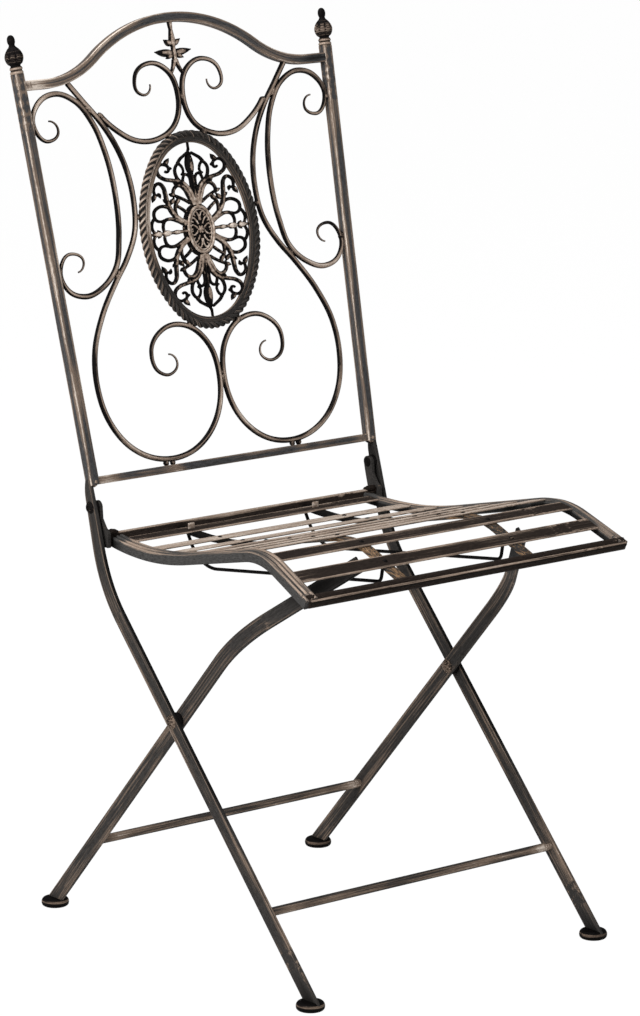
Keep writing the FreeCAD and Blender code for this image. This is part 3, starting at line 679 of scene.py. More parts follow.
crown_s = RAIL_S + RAIL_DIP_R - math.sqrt((RAIL_DIP_R + RAIL_CROWN_R) ** 2 - RAIL_FLAT_X ** 2)
join = math.atan2(RAIL_S + RAIL_DIP_R - crown_s, RAIL_FLAT_X)
rail_end = stile_x(RAIL_S) - STILE / 2 + RAIL_BITE
dip = arc((RAIL_FLAT_X, RAIL_S + RAIL_DIP_R), RAIL_DIP_R, math.radians(270), math.pi + join)
crown = arc((0, crown_s), RAIL_CROWN_R, join, math.pi / 2)
half_rail = chain(line((rail_end, RAIL_S), (RAIL_FLAT_X, RAIL_S), 4.0), dip, crown)
whole_rail = half_rail + [Vector((-p.x, p.y)) for p in reversed(half_rail[:-1])]
RAIL_BOX = box_section(RAIL, RAIL, RAIL_EDGE)
top = sweep("top_rail_piece", whole_rail, RAIL_BOX, [w - 0.1 for w in corner_wear(RAIL_BOX, 2.0)])
# The left end is painted lighter to cancel the shadow the post casts on it; the right end is made darker.
TOP_RUBS_AND_LIGHT = ((-185, 14, 0.8), (182, 22, -0.75))
rub_and_light(top, TOP_RUBS_AND_LIGHT)
fit(merged(settle(top, BACK)), "back_frame", frame_iron, "top_rail")

LOW_BOX = box_section(BOTTOM_RAIL, BOTTOM_RAIL, BOTTOM_EDGE)
low_wear = [0.5 * w - 0.1 for w in corner_wear(LOW_BOX)]
low_x = stile_x(0) - STILE / 2 + RAIL_BITE
low = sweep("bottom_rail_piece", line((-low_x, 0), (low_x, 0), 5.0), LOW_BOX, low_wear)
LOW_RUBS = ((-166, 16, 0.9), (-78, 12, 0.7), (88, 8, 0.4), (170, 10, 0.4))
rub_and_light(low, LOW_RUBS)
fit(merged(settle(low, BACK)), "back_frame", frame_iron, "bottom_rail")

# Finial: a turned bud with a lobed bulb, palest on its widest rings
bud_path = [Vector((0, 0)), Vector((FINIAL_BASE_R, 0))] + through(FINIAL, 0.8)[0] + [Vector((0, FINIAL_H))]
bud = turned("finial", bud_path, FINIAL_SIDES)
for v in bud.data.vertices:
    if BULB_LOW < v.co.y < BULB_TOP:
        swell = math.sin(math.pi * (v.co.y - BULB_LOW) / (BULB_TOP - BULB_LOW))
        crease = 1 - abs(math.cos(BULB_LOBES / 2 * math.atan2(v.co.z, v.co.x)))
        squeeze = 1 - BULB_CREASE * swell * crease ** 2
        v.co.x *= squeeze
        v.co.z *= squeeze


def bud_wear(co):
    r = math.hypot(co.x, co.z)
    if co.y < BULB_LOW:
        return 0.9 * ramped(r, 5.7, 6.8)
    return 0.55 * ramped(r, 5.0, 10.0) - 0.05


ringed(mark(bud, bud_wear), FINIAL_GRAIN_R)
settle(bud, BACK @ Matrix.Translation((stile_x(STILE_TOP), STILE_TOP, 0)) @ Matrix.Rotation(-slope, 4, "Z"))
fit_pair(merged(bud), "finial", "back_frame", cast_ornament, angle=TURNED_ANGLE)

# Scrolls of the right half, through points (x, s). Their curled ends thin out.
LYRE = [(141, 406), (125, 386), (108, 365), (93, 340), (83, 312), (79.5, 280), (84, 247), (99.5, 219.5),
        (116.5, 199), (140, 166), (156, 130), (159.5, 96), (151, 58), (127, 27), (84, 10.5), (44, 18),
        (14, 46), (3.0, 86), (10.8, 122.4), (35.6, 144.2), (66, 144), (85.5, 122), (79, 100.5), (64, 97),
        (54.5, 107), (64, 117.5)]
SIDE = [(171, 369.5), (160.8, 358), (173, 349), (190.2, 366), (179, 390), (158, 396.5), (135, 387.3),
        (116.6, 362.8), (106.5, 332), (101.5, 288), (105, 243), (113.8, 213.4), (134, 194.5), (157, 187.5),
        (178, 196.5), (183.3, 217.5), (168, 232.5), (153.5, 222), (162, 213)]
HEART = [(106, 370), (88, 353), (64, 340.2), (36.8, 339.8), (12.7, 353), (3.1, 381), (13, 410), (34, 418.8),
         (55, 406), (53, 389), (42.5, 387), (37, 397)]
# Name, points and how many spans thin out at the start and at the end
SCROLLS = (("lyre_scroll", LYRE, 0, 6), ("side_scroll", SIDE, 4, 5), ("heart_scroll", HEART, 0, 5))
ROUND = round_section(ROD_R)


def thinned(share, last, head_n, tail_n):
    if share < head_n:
        return TIP + (1 - TIP) * share / head_n
    if share > last - tail_n:
        return TIP + (1 - TIP) * (last - share) / tail_n
    return 1.0


for name, points, head_n, tail_n in SCROLLS:
    path, shares = through(points, 2.0)
    sizes = [thinned(s, len(points) - 1, head_n, tail_n) for s in shares]
    rod = sweep(name, path, ROUND, rod_wear_and_shade(ROUND), radii=sizes)
    fit_pair(merged(settle(rod, BACK)), name, "back_frame", scroll_iron, angle=ROD_ANGLE)

# Medallion: the rope and the band behind it are paler at the upper left
AT_MEDAL = BACK @ Matrix.Translation((0, MEDAL_S, 0))
rope_path = oval(ROPE_A, ROPE_B, ROPE_END_R, step=1.0)
ROPE = rope_section(ROPE_STRANDS)
twist = [2 * math.pi * ROPE_TURNS * i / len(rope_path) for i in range(len(rope_path))]
rope = sweep("medallion_rope_piece", rope_path, ROPE, corner_wear(ROPE), closed=True, tilts=twist)
# the hollows between the rope's strands go below zero: painted shade
for v, worn_and_shaded in brushed_and_shaded(rope):
    rubbed = ramped(-v.co.x, -10, 55) * ramped(v.co.y, -90, -20)
    worn_and_shaded.value = (1.4 * worn_and_shaded.value ** 1.5 - 0.35) * (0.3 + 0.7 * rubbed)
fit_casting(merged(settle(rope, AT_MEDAL)), rope_cast, "medallion_rope")

BAND = box_section(BAND_W, BAND_T, BAND_EDGE)
band_path = oval(ROPE_A, ROPE_B, ROPE_END_R, BAND_MID)
band = sweep("medallion_band_piece", band_path, BAND, corner_wear(BAND), closed=True)
for v, worn_and_shaded in brushed_and_shaded(band):
    worn_and_shaded.value += 2.4 * ramped(-v.co.x, 15, 60) * ramped(v.co.y, -60, 10)
fit(merged(settle(band, AT_MEDAL)), "back_frame", cast_band, "medallion_band")

# Filigree of the upper right quarter: points from the boss outward, width at the start and at the end
TENDRILS = (
    ([(2.4, 26), (4.6, 38), (9, 46), (15.5, 51.3), (26, 53.8), (37, 56.4), (43.2, 61), (44.2, 66.2),
      (40.3, 70.6), (33.5, 70.8), (29, 67.2), (30.6, 63.2), (34.4, 64.4)], 3.8, 2.0),
    ([(16.5, 52), (20.8, 58.5), (20.6, 66), (15.6, 70), (11.4, 66.2), (11.2, 60.5), (14.2, 58.6)], 2.8, 1.8),
    ([(17, 69.4), (13, 74.6), (7.5, 78), (2.4, 81)], 2.8, 2.2),
    ([(4.8, 40), (3.0, 49), (4.6, 56.6), (8.6, 58.8), (12.4, 54.6), (12.6, 49.5)], 2.4, 2.2),
    ([(3.6, 26), (8.6, 37.5), (12.2, 44), (18, 48), (24.4, 46.2), (27.6, 41), (26.4, 36.6)], 3.8, 2.4),
    ([(27, 38.2), (18, 34.4), (7.6, 28.4)], 2.4, 2.6),
    ([(26.5, 27.6), (21, 24.6), (14.6, 19.6)], 2.4, 2.6),
    ([(20.6, 34.6), (26.8, 28), (27.6, 19), (24.2, 12)], 2.8, 2.4),
    ([(16.5, 8.5), (24, 13), (32.5, 21.5), (36.6, 31), (37.8, 40), (39.2, 47.6), (43.6, 52), (49.4, 50.4),
      (52.2, 45), (50, 40.4), (46, 42)], 4.2, 2.0),
    ([(35.2, 25.6), (41, 28), (49.5, 27.4), (56, 22), (55, 15.5), (49, 12.8), (43.5, 14)], 3.0, 2.2),
    ([(18, 7), (28, 12.2), (36, 14.4), (43.6, 12.8), (46.6, 7), (45.4, 0.5)], 3.4, 2.2),
    ([(55.6, 16.5), (60.2, 12), (60.6, 5), (56.5, 0.8)], 2.6, 2.2))
# Root, tip and half width
LEAVES = (((34, 69.8), (26.8, 77.4), 1.9), ((29.5, 66.5), (24.6, 66.2), 1.4), ((25.6, 38), (34, 40.4), 1.7),
          ((27.5, 35), (34.8, 28.2), 1.8), ((20.4, 35), (27.4, 27.6), 1.7), ((50.6, 41.6), (56.4, 33), 1.8),
          ((46.4, 42.6), (44.6, 36.4), 1.4), ((24.6, 53.2), (22, 47.6), 1.3), ((36.6, 32), (42.6, 35.6), 1.5),
          ((50, 0), (55.4, 4.6), 1.3))
SWELL = 1.32                        # the casting's strokes are this much wider than drawn
ARM_HALF = 4.5
quarter = joined("quarter", [cast_stroke(p, SWELL * a, SWELL * b) for p, a, b in TENDRILS]
                 + [cast_leaf(root, tip, SWELL * half) for root, tip, half in LEAVES])
upright = joined("upright", [cast_stroke([(0, 24), (0, 34), (0, 47)], 5.0, 2.8),
                             cast_stroke([(0, 45), (0, 60)], 3.6, 3.2),
                             cast_leaf((0, 56), (0, 86), 4.2, 0.4, -1.6),
                             cast_stroke([(0, 83), (0, 92.6)], 2.8, 2.6)])
arm = joined("arm", [cast_stroke([(15, 0), (65, 0)], 3.8, 3.0), cast_leaf((24, 0), (38, 0), 2.4),
                     cast_leaf((37, 0), (51, 0), 3.2), cast_leaf((49, 0), (63, 0), 2.8)])
OTHER_QUARTERS = ((-1, 1), (1, -1), (-1, -1))
quarters = [quarter] + [flipped(quarter, x, y) for x, y in OTHER_QUARTERS]
web = quarters + [upright, flipped(upright, 1, -1), arm, flipped(arm, -1, 1)]
collar_path = oval(BOSS_A, BOSS_B, BOSS_END_R, 0.6, 1.0)
collar = sweep("collar", collar_path, RIDGE, UNWORN, radii=[2.2] * len(collar_path), closed=True)
filigree = cast("medallion_filigree_piece", web + [lifted(collar, -1.2)], 0.65, 1.1, 2.5)
for v, worn_and_shaded in brushed_and_shaded(filigree):
    if abs(v.co.y) < ARM_HALF:
        worn_and_shaded.value *= 1.5
    else:
        worn_and_shaded.value -= 0.35 * ramped(math.hypot(v.co.x / ROPE_A, v.co.y / ROPE_B), 0.4, 0.75)
fit_casting(settle(filigree, AT_MEDAL), cast_ornament, "medallion_filigree")


# Boss: dished oval with a rolled rim, twelve small curls and a flower of six petals
def oval_slab(outline, low, high):
    bpy.ops.object.select_all(action="DESELECT")
    bpy.ops.mesh.primitive_circle_add(vertices=len(outline), fill_type="NGON")
    slab = bpy.context.object
    for v, p in zip(slab.data.vertices, outline):
        v.co = (p[0], p[1], low)
    lift = {"value": (0, 0, high - low)}
    in_edit(slab, lambda: bpy.ops.mesh.extrude_region_move(TRANSFORM_OT_translate=lift))
    return merged(slab, 0.001)


def boss_ring(off, r, z):
    path = oval(BOSS_A, BOSS_B, BOSS_END_R, off, 1.0)
    return lifted(sweep("ring", path, round_section(r, 12), [0] * 12, closed=True), z)


CURLS = ([(0.9, 9.5), (1.4, 15.5), (4.4, 18.8), (6.9, 16.4), (4.9, 14.2)],
         [(2.8, 5.8), (5.6, 10.6), (8.8, 12.8), (11.2, 10.2), (8.8, 8.2)],
         [(4.4, 1.2), (7.6, 4.4), (11.4, 5.2), (12.8, 2.2), (10.4, 1.0)])
curl = joined("curl", [cast_stroke(c, 2.1, 1.6, BOSS_FLOOR) for c in CURLS])
PETAL_TIPS = [(4.6 * math.cos(k * math.pi / 3), 4.6 * math.sin(k * math.pi / 3)) for k in range(6)]
petals = [cast_leaf((0, 0), tip, 1.4, 0.6, BOSS_FLOOR) for tip in PETAL_TIPS]
boss_parts = [oval_slab(oval(BOSS_A, BOSS_B, BOSS_END_R, -0.5, 1.0), BOSS_BACK, BOSS_FLOOR),
              boss_ring(-1.2, 1.4, 2.6), boss_ring(-3.9, 0.8, BOSS_FLOOR + 0.5),
              lifted(lump((0, 0), (2.0, 2.0, 2.0)), BOSS_FLOOR + 1.2), curl]
boss_parts += [flipped(curl, x, y) for x, y in OTHER_QUARTERS] + petals
boss = cast("medallion_boss_piece", boss_parts, 0.35, 1.75, 2.5)
fit_casting(settle(boss, AT_MEDAL), cast_ornament, "medallion_boss")

# Crest: thorny leaf between the top rail and the heart scrolls
crown_low = crown_s + RAIL_CROWN_R - RAIL / 2
crest_parts = [cast_stroke([(0, crown_low + 2), (0, 451)], 5.4, 3.8),
               cast_stroke([(0, 452), (0, 441)], 3.8, 6.4), cast_stroke([(0, 442), (0, 433)], 6.4, 4.4),
               cast_stroke([(0, 434), (0, 417)], 4.4, 5.2)]
for k in (1, -1):
    crest_parts += [cast_leaf((k * 0.5, 435.5), (k * 11, 441.6), 3.0, 0.35, -1.0),
                    cast_leaf((0, 426.8), (k * 23.8, 429.6), 4.0, 0.35, -1.8),
                    cast_leaf((k * 2, 425), (k * 12, 421.6), 2.2),
                    cast_stroke([(k * 1.2, 420), (k * 3.6, 412.5), (k * 7.6, 406)], 4.6, 3.4)]
crest = cast("crest_fleur_piece", crest_parts, 0.45, 0.9, 2.3)
fit_casting(settle(crest, BACK), cast_ornament, "crest_fleur")

# Welds where the rods meet, with the tabs on the bottom rail: centre, size and turn
WELDS = (((106, 369), (4.2, 3.6, 3.3), 0.8), ((23, 343), (4.6, 3.6, 3.2), 0.3),
         ((78.6, 262), (3.4, 3.4, 3.0), 0.0), ((32, 143.6), (4.6, 3.8, 3.2), 0.4),
         ((120.6, 377.5), (6.6, 3.4, 3.0), 0.9), ((113.2, 206), (6.0, 3.4, 3.0), -0.9),
         ((191, 366), (3.0, 5.0, 2.8), 0.0), ((184.4, 217), (3.0, 5.0, 2.8), 0.0),
         ((79, 6.6), (3.0, 3.6, 2.6), 0.1), ((87.5, 6.8), (3.2, 3.6, 2.6), -0.2),
         ((STILE_X0, -1.0), (5.6, 5.2, 6.0), 0.0))
MIDDLE_WELDS = (((0, 86), (2.6, 9.0, 3.0)), ((0, 381), (2.6, 6.0, 3.0)))
beads = [lump((k * x, y), size, k * turn) for (x, y), size, turn in WELDS for k in (1, -1)]
beads += [lump(centre, size) for centre, size in MIDDLE_WELDS]
welds = mark(joined("weld_beads", beads), lambda co: 0.7 * ramped(co.z, 0.5, 3.0))
fit(settle(welds, BACK), "back_frame", cast_ornament, "weld_tabs", angle=ROD_ANGLE)

# Legs
cross = Vector((0, 0, CROSS_Z))


def flat(p):
    return Vector((p.y, p.z))


# Two straight runs joined by a bend of radius r
def bend_path(start, corner, end, r):
    a, b = (start - corner).normalized(), (end - corner).normalized()
    half_angle = a.angle(b) / 2
    t = r / math.tan(half_angle)
    centre = corner + (a + b).normalized() * (r / math.sin(half_angle))
    p, q = corner + a * t, corner + b * t
    t0, t1 = math.atan2(*(p - centre).yx), math.atan2(*(q - centre).yx)
    if t1 - t0 > math.pi:
        t1 -= 2 * math.pi
    if t0 - t1 > math.pi:
        t1 += 2 * math.pi
    return chain(line(start, p), arc(centre, r, t0, t1), line(q, end))


# Front legs, drawn in the side plane
FLAT_BAR = box_section(BAR_W, BAR_T, BAR_EDGE)
leg_top = Vector((BACK_Y, BACK_Z)) + flat(UP) * (STILE_LOW + LEG_RISE)
leg_foot = Vector((FRONT_END_Y, FOOT_H - LEG_SINK))
leg_dir = (Vector((FRONT_END_Y, FOOT_H)) - flat(cross)).normalized()
normal = Vector((-leg_dir.y, leg_dir.x))
reach = (leg_top - flat(cross)).dot(normal) / flat(UP).dot(normal)
corner = leg_top - flat(UP) * reach
leg_path = bend_path(leg_top, corner, leg_foot, FRONT_BEND_R)
# finer steps at the top, where the bar narrows
leg_path = line(leg_top, leg_path[1], 4.0) + leg_path[2:]
leg = sweep("front_leg", leg_path, FLAT_BAR, bar_wear_and_shade(FLAT_BAR))
fore_edge = Vector((-flat(UP).y, flat(UP).x))
for v, worn_and_shaded in brushed_and_shaded(leg):
    # paler narrow faces low down and at the top; painted shade on the inner face high up, beside the seat,
    # and near the foot
    if worn_and_shaded.value < 0:
        worn_and_shaded.value += 1.5 * ramped(-v.co.y, -190, -120) + 1.0 * ramped(v.co.y, 395, 425)
    elif v.co.z < 0:
        worn_and_shaded.value -= 0.7 * ramped(v.co.y, 320, 390)
    worn_and_shaded.value -= 0.9 * (1 - ramped(v.co.y, 10, 42))
    # the top narrows from the front and is rounded behind
    fall = (leg_top - v.co.xy).dot(flat(UP))
    if fall < TAPER:
        side = (v.co.xy - leg_top).dot(fore_edge) / (BAR_W / 2)
        bite = (1 - max(fall, 0) / TAPER) ** 1.4
        v.co.xy -= fore_edge * (TRIM * bite * max(0, side) + 0.25 * TRIM * bite * max(0, 1 - abs(side)))
        v.co.xy += fore_edge * (SHOULDER * max(0, 1 - fall / SHOULDER_RUN) ** 2 * max(0, -side))
    if (v.co.xy - leg_foot).dot(leg_dir) > -0.5:
        v.co.xy += leg_dir * ((LEG_END_Z - v.co.y) / leg_dir.y)
settle(leg, Matrix.Translation((FRONT_X, 0, 0)) @ SIDE_PLANE)
fit_pair(merged(leg), "front_leg", "back_frame", leg_iron)

# Rear legs: up from the foot, through the cross, then inward and forward to the slide pin
rear_dir = (cross - Vector((0, REAR_END_Y, FOOT_H))).normalized()


def at_height(direction, z):
    return cross + direction * ((z - CROSS_Z) / direction.z)


knee = at_height(rear_dir, REAR_BEND_Z) + Vector((REAR_X, 0, 0))
rear_start = at_height(rear_dir, FOOT_H - LEG_SINK) + Vector((REAR_X, 0, 0))
rise_dir = (SLIDE - knee).normalized()
axis = rear_dir.cross(rise_dir).normalized()
REAR_PLANE = basis(knee, rear_dir, axis.cross(rear_dir))
to_plane = REAR_PLANE.inverted()
wide = Vector((0, -rear_dir.z, rear_dir.y))
wide_local = to_plane.to_3x3() @ wide
tip = SLIDE + rise_dir * (BAR_W / 2)
rear_path = bend_path(*[(to_plane @ p).to_2d() for p in (rear_start, knee, tip)], REAR_BEND_R)
# finer steps at the tip
rear_path = rear_path[:-2] + line(rear_path[-2], rear_path[-1], 5.0)
REAR_BAR = box_section(BAR_W, BAR_T, BAR_EDGE, turn=math.atan2(-wide_local.z, wide_local.y))
rear = sweep("rear_leg", rear_path, REAR_BAR, [max(w, 0.3) for w in bar_wear_and_shade(FLAT_BAR)])
settle(rear, REAR_PLANE)
for v, worn_and_shaded in brushed_and_shaded(rear):
    # painted shade under the seat
    worn_and_shaded.value -= 1.1 * ramped(v.co.z / MM, 375, 400)
    if (v.co / MM - rear_start).dot(rear_dir) < 0.01:
        v.co += rear_dir * ((LEG_END_Z * MM - v.co.z) / rear_dir.z)
fit_pair(merged(rear), "rear_leg", "rear_legs", leg_iron)

# Stretchers between the legs
STRETCH = round_section(STRETCHER_R, 16)
# rubbed round the middle, less along the top, with painted shade underneath
stretch_wear_and_shade = [0.75 - 1.1 * ramped(-b, 2.2, 4.2) - 0.7 * ramped(b, 3.2, 4.4) for a, b in STRETCH]
front_dir = (Vector((0, FRONT_END_Y, FOOT_H)) - cross).normalized()
for name, direction, z, reach_x, body in (
        ("front_stretcher", front_dir, FRONT_STRETCHER_Z, FRONT_X - BAR_T / 2, "back_frame"),
        ("rear_stretcher", rear_dir, REAR_STRETCHER_Z, REAR_X - BAR_T / 2, "rear_legs")):
    rod = sweep(name + "_piece", line((-reach_x, 0), (reach_x, 0), 6.0), STRETCH, stretch_wear_and_shade)
    rub_and_light(rod, ((-reach_x + 25, 14, 0.6), (reach_x - 12, 12, 0.9)))
    settle(rod, Matrix.Translation(at_height(direction, z)))
    fit(merged(rod), body, leg_iron, name, angle=ROD_ANGLE)


# Seat profile: height and slope along d
rise_sine = (DIP_D1 - DIP_D0) / DIP_R
RISE = math.asin(rise_sine)
dip_z1 = SEAT_LOW_Z + DIP_R * (1 - math.cos(RISE))
hump_z0 = dip_z1 + (HUMP_D - DIP_D1) * math.tan(RISE)
hump_top_d = HUMP_D + HUMP_R * rise_sine
hump_top_z = hump_z0 + HUMP_R * (1 - math.cos(RISE))
nose_d = hump_top_d + HUMP_R * math.sin(NOSE)


def profile(d):
    if d < DIP_D1:
        a = math.asin((d - DIP_D0) / DIP_R)
        return SEAT_LOW_Z + DIP_R * (1 - math.cos(a)), a
    if d < HUMP_D:
        return dip_z1 + (d - DIP_D1) * math.tan(RISE), RISE
    if d < nose_d:
        a = math.asin((hump_top_d - d) / HUMP_R)
        return hump_top_z - HUMP_R * (1 - math.cos(a)), a
    return hump_top_z - HUMP_R * (1 - math.cos(NOSE)) - (d - nose_d) * math.tan(NOSE), -NOSE


def profile_path(d0, d1, step=5.0):
    n = round((d1 - d0) / step)
    stops = [d0 + (d1 - d0) * i / n for i in range(n + 1)]
    return [Vector((d, profile(d)[0])) for d in stops]


FORE = Vector((math.sin(SEAT_YAW), -math.cos(SEAT_YAW), 0))
RAIL_PLANE = basis((SEAT_REAR_X, SEAT_REAR_Y, 0), FORE, (0, 0, 1))
RAIL_START_D = 0.3


# Section of a side rail: down from the profile, inward from the outer face; three ridges stepping outward.
# The lower inner face and the underside are painted dark as shade.
def rail_section():
    pts = [(RAIL_H + 2 * RAIL_STEP - 0.8, 0.0), (2 * RAIL_STEP + 0.6, 0.0)]
    wear_and_shade = [-0.05, 0.05]
    for k in range(3):
        down, in_from = RAIL_STEP * (2 - k), (k + 0.5) * RAIL_W / 3
        for i in range(9):
            t = math.pi * (1 - i / 8)
            pts.append((down - 0.7 * BEAD_R * math.sin(t), in_from + BEAD_R * math.cos(t)))
            wear_and_shade.append(0.5 + 0.35 * math.sin(t))
    pts += [(0.6, RAIL_W), (3.0, RAIL_W), (4.2, RAIL_W), (RAIL_H - 0.8, RAIL_W), (RAIL_H, RAIL_W - 0.8),
            (RAIL_H + 2 * RAIL_STEP, 0.8)]
    return pts, wear_and_shade + [0.8, 0.5, -0.7, -0.9, -0.6, -0.4]


RAIL_BAR, rail_wear_and_shade = rail_section()
side_rail = sweep("seat_rail", profile_path(RAIL_START_D, SEAT_END_D + RAIL_OVERRUN), RAIL_BAR, rail_wear_and_shade)
for v, worn_and_shaded in brushed_and_shaded(side_rail):
    # painted shade at the rear corner
    worn_and_shaded.value -= 0.9 * (1 - ramped(v.co.x, 4, 24))
fit_pair(merged(settle(side_rail, RAIL_PLANE)), "seat_rail", "seat", rail_iron)


def inner_x(y):
    return SEAT_REAR_X - RAIL_W / math.cos(SEAT_YAW) + (SEAT_REAR_Y - y) * math.tan(SEAT_YAW)


front_y = SEAT_REAR_Y - SEAT_END_D * math.cos(SEAT_YAW) + NOSE_SET
nose_x = inner_x(front_y) + RAIL_W / math.cos(SEAT_YAW)
nose_z = profile(SEAT_END_D)[0]
# Front rail: sloping top face, a rolled ridge in front and a recess below it. The ridge's lower side is
# painted dark as shade.
ridge_turns = [math.radians(-105 + 210 * k / 10) for k in range(11)]
NOSE_BAR = [(NOSE_A + NOSE_R * math.cos(t), NOSE_B + NOSE_R * math.sin(t)) for t in ridge_turns]
NOSE_BAR += [(1.6, 4.6), (-0.6, 6.3), (-3.4, 6.3), (-NOSE_HALF, 4.2), (-NOSE_HALF, -4.2), (-3.4, -6.3),
             (0.2, -6.3), (1.8, -4.8)]
nose_wear_and_shade = [(0.85 if b > NOSE_B else -0.6) if a > NOSE_A else 0.15 for a, b in NOSE_BAR]
nose_line = line((NOSE_INSET - nose_x, 0), (nose_x - NOSE_INSET, 0))
nose_bar = sweep("seat_front_rail_piece", nose_line, NOSE_BAR, nose_wear_and_shade)
CORNER_LUMP, CORNER_IN, CORNER_TURN = (7.0, 4.6, 3.6), 15.0, 0.3
corners = [lifted(lump((k * (nose_x - CORNER_IN), 2.0), CORNER_LUMP, k * CORNER_TURN), 3.0) for k in (1, -1)]
nose_bar = joined("seat_front_rail_piece", [nose_bar] + [mark(c, lambda co: 0.3) for c in corners])
settle(nose_bar, Matrix.Translation((0, front_y - NOSE_HALF, nose_z - NOSE_HALF)))
fit(merged(nose_bar), "seat", edge_iron, "seat_front_rail")

# Rear rail, with shoes at its ends
REAR_BOX = box_section(REAR_RAIL_T, REAR_RAIL_H, REAR_RAIL_EDGE)
edge_wear = [ramped(b, 4.0, 6.5) if b > 0 else 0.7 * ramped(-b, 5.0, 7.0) for a, b in REAR_BOX]
rear_bar = sweep("seat_rear_rail_piece", line((-EAR_X, 0), (EAR_X, 0)), REAR_BOX, edge_wear)
SHOE_LUMP, SHOE_IN, SHOE_UP = (8.5, 4.6, 3.2), 6.0, 7.6
shoes = [lifted(lump((k * (EAR_X - SHOE_IN), 0), SHOE_LUMP), SHOE_UP) for k in (1, -1)]
rear_bar = joined("seat_rear_rail_piece", [rear_bar] + [mark(c, lambda co: -0.3) for c in shoes])
settle(rear_bar, Matrix.Translation((0, SEAT_REAR_Y + REAR_RAIL_T / 2, REAR_RAIL_Z)))
fit(merged(rear_bar), "seat", edge_iron, "seat_rear_rail")


# Slats, front to rear. The last one carries two upright lugs.
def lug(side, z):
    bpy.ops.object.select_all(action="DESELECT")
    bpy.ops.mesh.primitive_cube_add(size=1.0)
    plate = bpy.context.object
    plate.scale = (LUG_W, LUG_T, LUG_H + LUG_SINK)
    plate.location = (side * SUPPORT_X, LUG_Y - LUG_T / 2, z + (LUG_H - LUG_SINK) / 2)
    bpy.ops.object.transform_apply(location=True, rotation=False, scale=True)
    in_edit(plate, lambda: bpy.ops.mesh.bevel(offset=LUG_EDGE, segments=2))
    return settle(mark(plate, lambda co: 1.3), Matrix.Identity(4))


for i, u in enumerate(SLAT_U):
    z, slant = profile(u + SEAT_REAR_Y)
    along = Vector((0, -math.cos(slant), math.sin(slant)))
    across = Vector((0, math.sin(slant), math.cos(slant)))
    reach_x = inner_x(-u) + SLAT_BITE
    name = "slat_%d" % (i + 1)
    last = i == len(SLAT_U) - 1
    flat_box = box_section(FRONT_SLAT_W if i < FRONT_SLATS else SLAT_W, SLAT_T, SLAT_EDGE)
    # the first two slats and the last are dark, and rubbed along their edges only
    if i < FRONT_SLATS - 1 or last:
        wear_and_shade, finish = [ramped(abs(a), 5.5, 8.0) for a, b in flat_box], front_slat_iron
    else:
        wear_and_shade, finish = [0.4 + 0.6 * b / (SLAT_T / 2) for a, b in flat_box], slat_iron
    bar = sweep(name + "_piece", line((-reach_x, 0), (reach_x, 0)), flat_box, wear_and_shade)
    settle(bar, basis(Vector((0, -u, z)) - across * (SLAT_T / 2), (1, 0, 0), along * -1))
    if last:
        bar = joined(name + "_piece", [bar, lug(1, z), lug(-1, z)])
    fit(merged(bar), "seat", finish, name)


# Feet: turned buns with a pale line round them; the rest of the foot is painted darker than its paint, as
# shade
def foot_wear_and_shade(co):
    return 1.3 * math.exp(-((co.y - 5.8) / 1.6) ** 2) - 0.5


foot_path = [Vector((0, 0))] + through(FOOT, 0.7)[0] + [Vector((0, FOOT_H))]
for name, x, y, body in (
        ("front_foot", FRONT_X, FRONT_FOOT_Y, "back_frame"),
        ("rear_foot", REAR_X, REAR_FOOT_Y, "rear_legs")):
    bun = mark(turned(name, foot_path, FOOT_SIDES), foot_wear_and_shade)
    ringed(bun, FOOT_GRAIN_R)
    settle(bun, Matrix.Translation((x, y, 0)) @ Matrix.Rotation(math.radians(90), 4, "X"))
    fit_pair(merged(bun), name, body, foot_iron, angle=TURNED_ANGLE)

# Hinge ears, bars, wires and fasteners keep the construction's shape, with eased edges
for side in ("_left", "_right"):
    fit(eased("hinge_ear" + side, 0.7), "seat", ear_iron, "hinge_ear" + side)
    fit(eased("guide_wire" + side, 0), "seat", dark_iron, "guide_wire" + side)
    # brushed along its length, with painted shade toward the rear
    bar = eased("support_bar" + side, 0.5)
    mark(bar, lambda co: 0.6 - 1.5 * ramped(co.y / MM, -110, -60))
    for v, item in zip(bar.data.vertices, bar.data.attributes["grain"].data):
        item.vector = v.co.yxz / MM
    fit(bar, "seat", support_iron, "support_bar" + side)
# Fasteners: name, body, finish and width of the eased edge
for name, body, finish, width in (
        ("slat_rivets", "seat", hardware, 0), ("leg_rivets", "back_frame", rivet_iron, 0.3),
        ("leg_spacers", "back_frame", dark_iron, 0.4), ("seat_screws", "back_frame", hardware, 0.3),
        ("seat_nuts", "back_frame", dark_iron, 0.4), ("seat_washers", "back_frame", dark_iron, 0.2),
        ("slide_pins", "rear_legs", dark_iron, 0.4)):
    fit(eased(name, width), body, finish, name, angle=FASTENER_ANGLE)


# Floor, light and camera
FLOOR_SIZE, FLOOR_GLOW, GLOW_SHARE = 30.0, 1.03, 0.95
SKY_LIGHT = 0.24


def pale_floor():
    bpy.ops.object.select_all(action="DESELECT")
    bpy.ops.mesh.primitive_plane_add(size=FLOOR_SIZE)
    floor = bpy.context.object
    floor.name = "floor"
    mat = bpy.data.materials.new("pale_floor")
    mat.use_nodes = True
    tree = mat.node_tree
    tree.nodes.clear()
    out = tree.nodes.new("ShaderNodeOutputMaterial")
    matt = node(tree, "BsdfDiffuse", inputs={"Color": (0.9, 0.9, 0.9, 1)})
    glow = node(tree, "Emission", inputs={"Color": (1, 1, 1, 1), "Strength": FLOOR_GLOW})
    rays = node(tree, "LightPath")
    seen = maths(tree, "ADD", rays.outputs["Is Camera Ray"], rays.outputs["Is Glossy Ray"])
    share = maths(tree, "MULTIPLY", seen, GLOW_SHARE)
    mix = node(tree, "MixShader", {0: share, 1: matt.outputs[0], 2: glow.outputs[0]})
    tree.links.new(mix.outputs[0], out.inputs[0])
    floor.data.materials.append(mat)


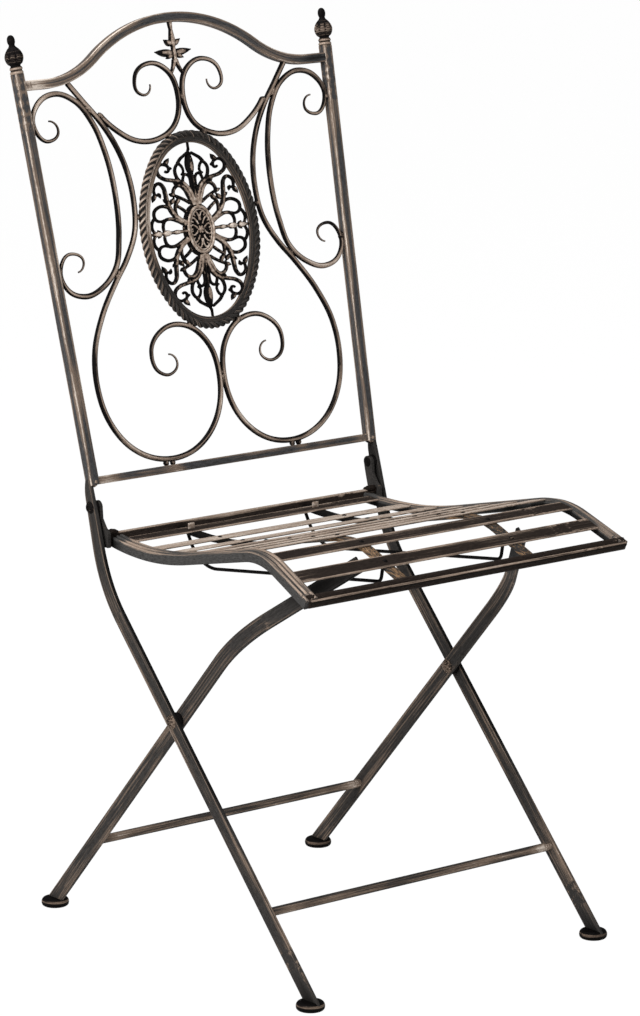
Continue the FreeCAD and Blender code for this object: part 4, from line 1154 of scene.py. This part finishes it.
def studio_world():
    world = bpy.data.worlds.new("studio")
    bpy.context.scene.world = world
    world.use_nodes = True
    tree = world.node_tree
    tree.nodes.clear()
    out = tree.nodes.new("ShaderNodeOutputWorld")
    rays = node(tree, "LightPath")
    seen = maths(tree, "ADD", rays.outputs["Is Camera Ray"], rays.outputs["Is Transmission Ray"])
    soft = node(tree, "Background", inputs={"Color": (1, 1, 1, 1), "Strength": SKY_LIGHT})
    white = node(tree, "Background", inputs={"Color": (1, 1, 1, 1), "Strength": 1.0})
    mix = node(tree, "MixShader", {0: seen, 1: soft.outputs[0], 2: white.outputs[0]})
    tree.links.new(mix.outputs[0], out.inputs[0])


def lamp(name, place, aim, size, power):
    bpy.ops.object.light_add(type="AREA", location=place)
    light = bpy.context.object
    light.name = name
    light.data.size = size
    light.data.energy = power
    light.rotation_euler = (Vector(aim) - Vector(place)).to_track_quat("-Z", "Y").to_euler()


CAMERA_AZIMUTH, CAMERA_ELEVATION = math.radians(-38.88), math.radians(12.28)
CAMERA_AIM, CAMERA_DISTANCE = Vector((0, 0, 0.4422)), 4.8233
FRAME_LONG_SIDE = 1016
FOCAL_PIXELS = 4716.4
SENSOR = 36.0
SHIFT_X, SHIFT_Y = 2.6, -0.9          # pixels


def photo_camera():
    back = Vector((math.sin(CAMERA_AZIMUTH) * math.cos(CAMERA_ELEVATION),
                   -math.cos(CAMERA_AZIMUTH) * math.cos(CAMERA_ELEVATION), math.sin(CAMERA_ELEVATION)))
    bpy.ops.object.camera_add(location=CAMERA_AIM + back * CAMERA_DISTANCE)
    camera = bpy.context.object
    camera.rotation_euler = (-back).to_track_quat("-Z", "Y").to_euler()
    camera.data.lens = FOCAL_PIXELS * SENSOR / FRAME_LONG_SIDE
    camera.data.sensor_width = SENSOR
    camera.data.shift_x = SHIFT_X / FRAME_LONG_SIDE
    camera.data.shift_y = SHIFT_Y / FRAME_LONG_SIDE
    bpy.context.scene.camera = camera


pale_floor()
studio_world()
lamp("key", (-3.2, -0.9, 2.4), (0, 0, 0.5), 1.4, 135)
lamp("fill", (1.6, -3.0, 1.6), (0, 0, 0.5), 2.0, 22)
lamp("top", (-0.3, 0.6, 3.0), (0, 0, 0.4), 1.6, 60)
photo_camera()
bpy.context.scene.view_settings.view_transform = "Standard"
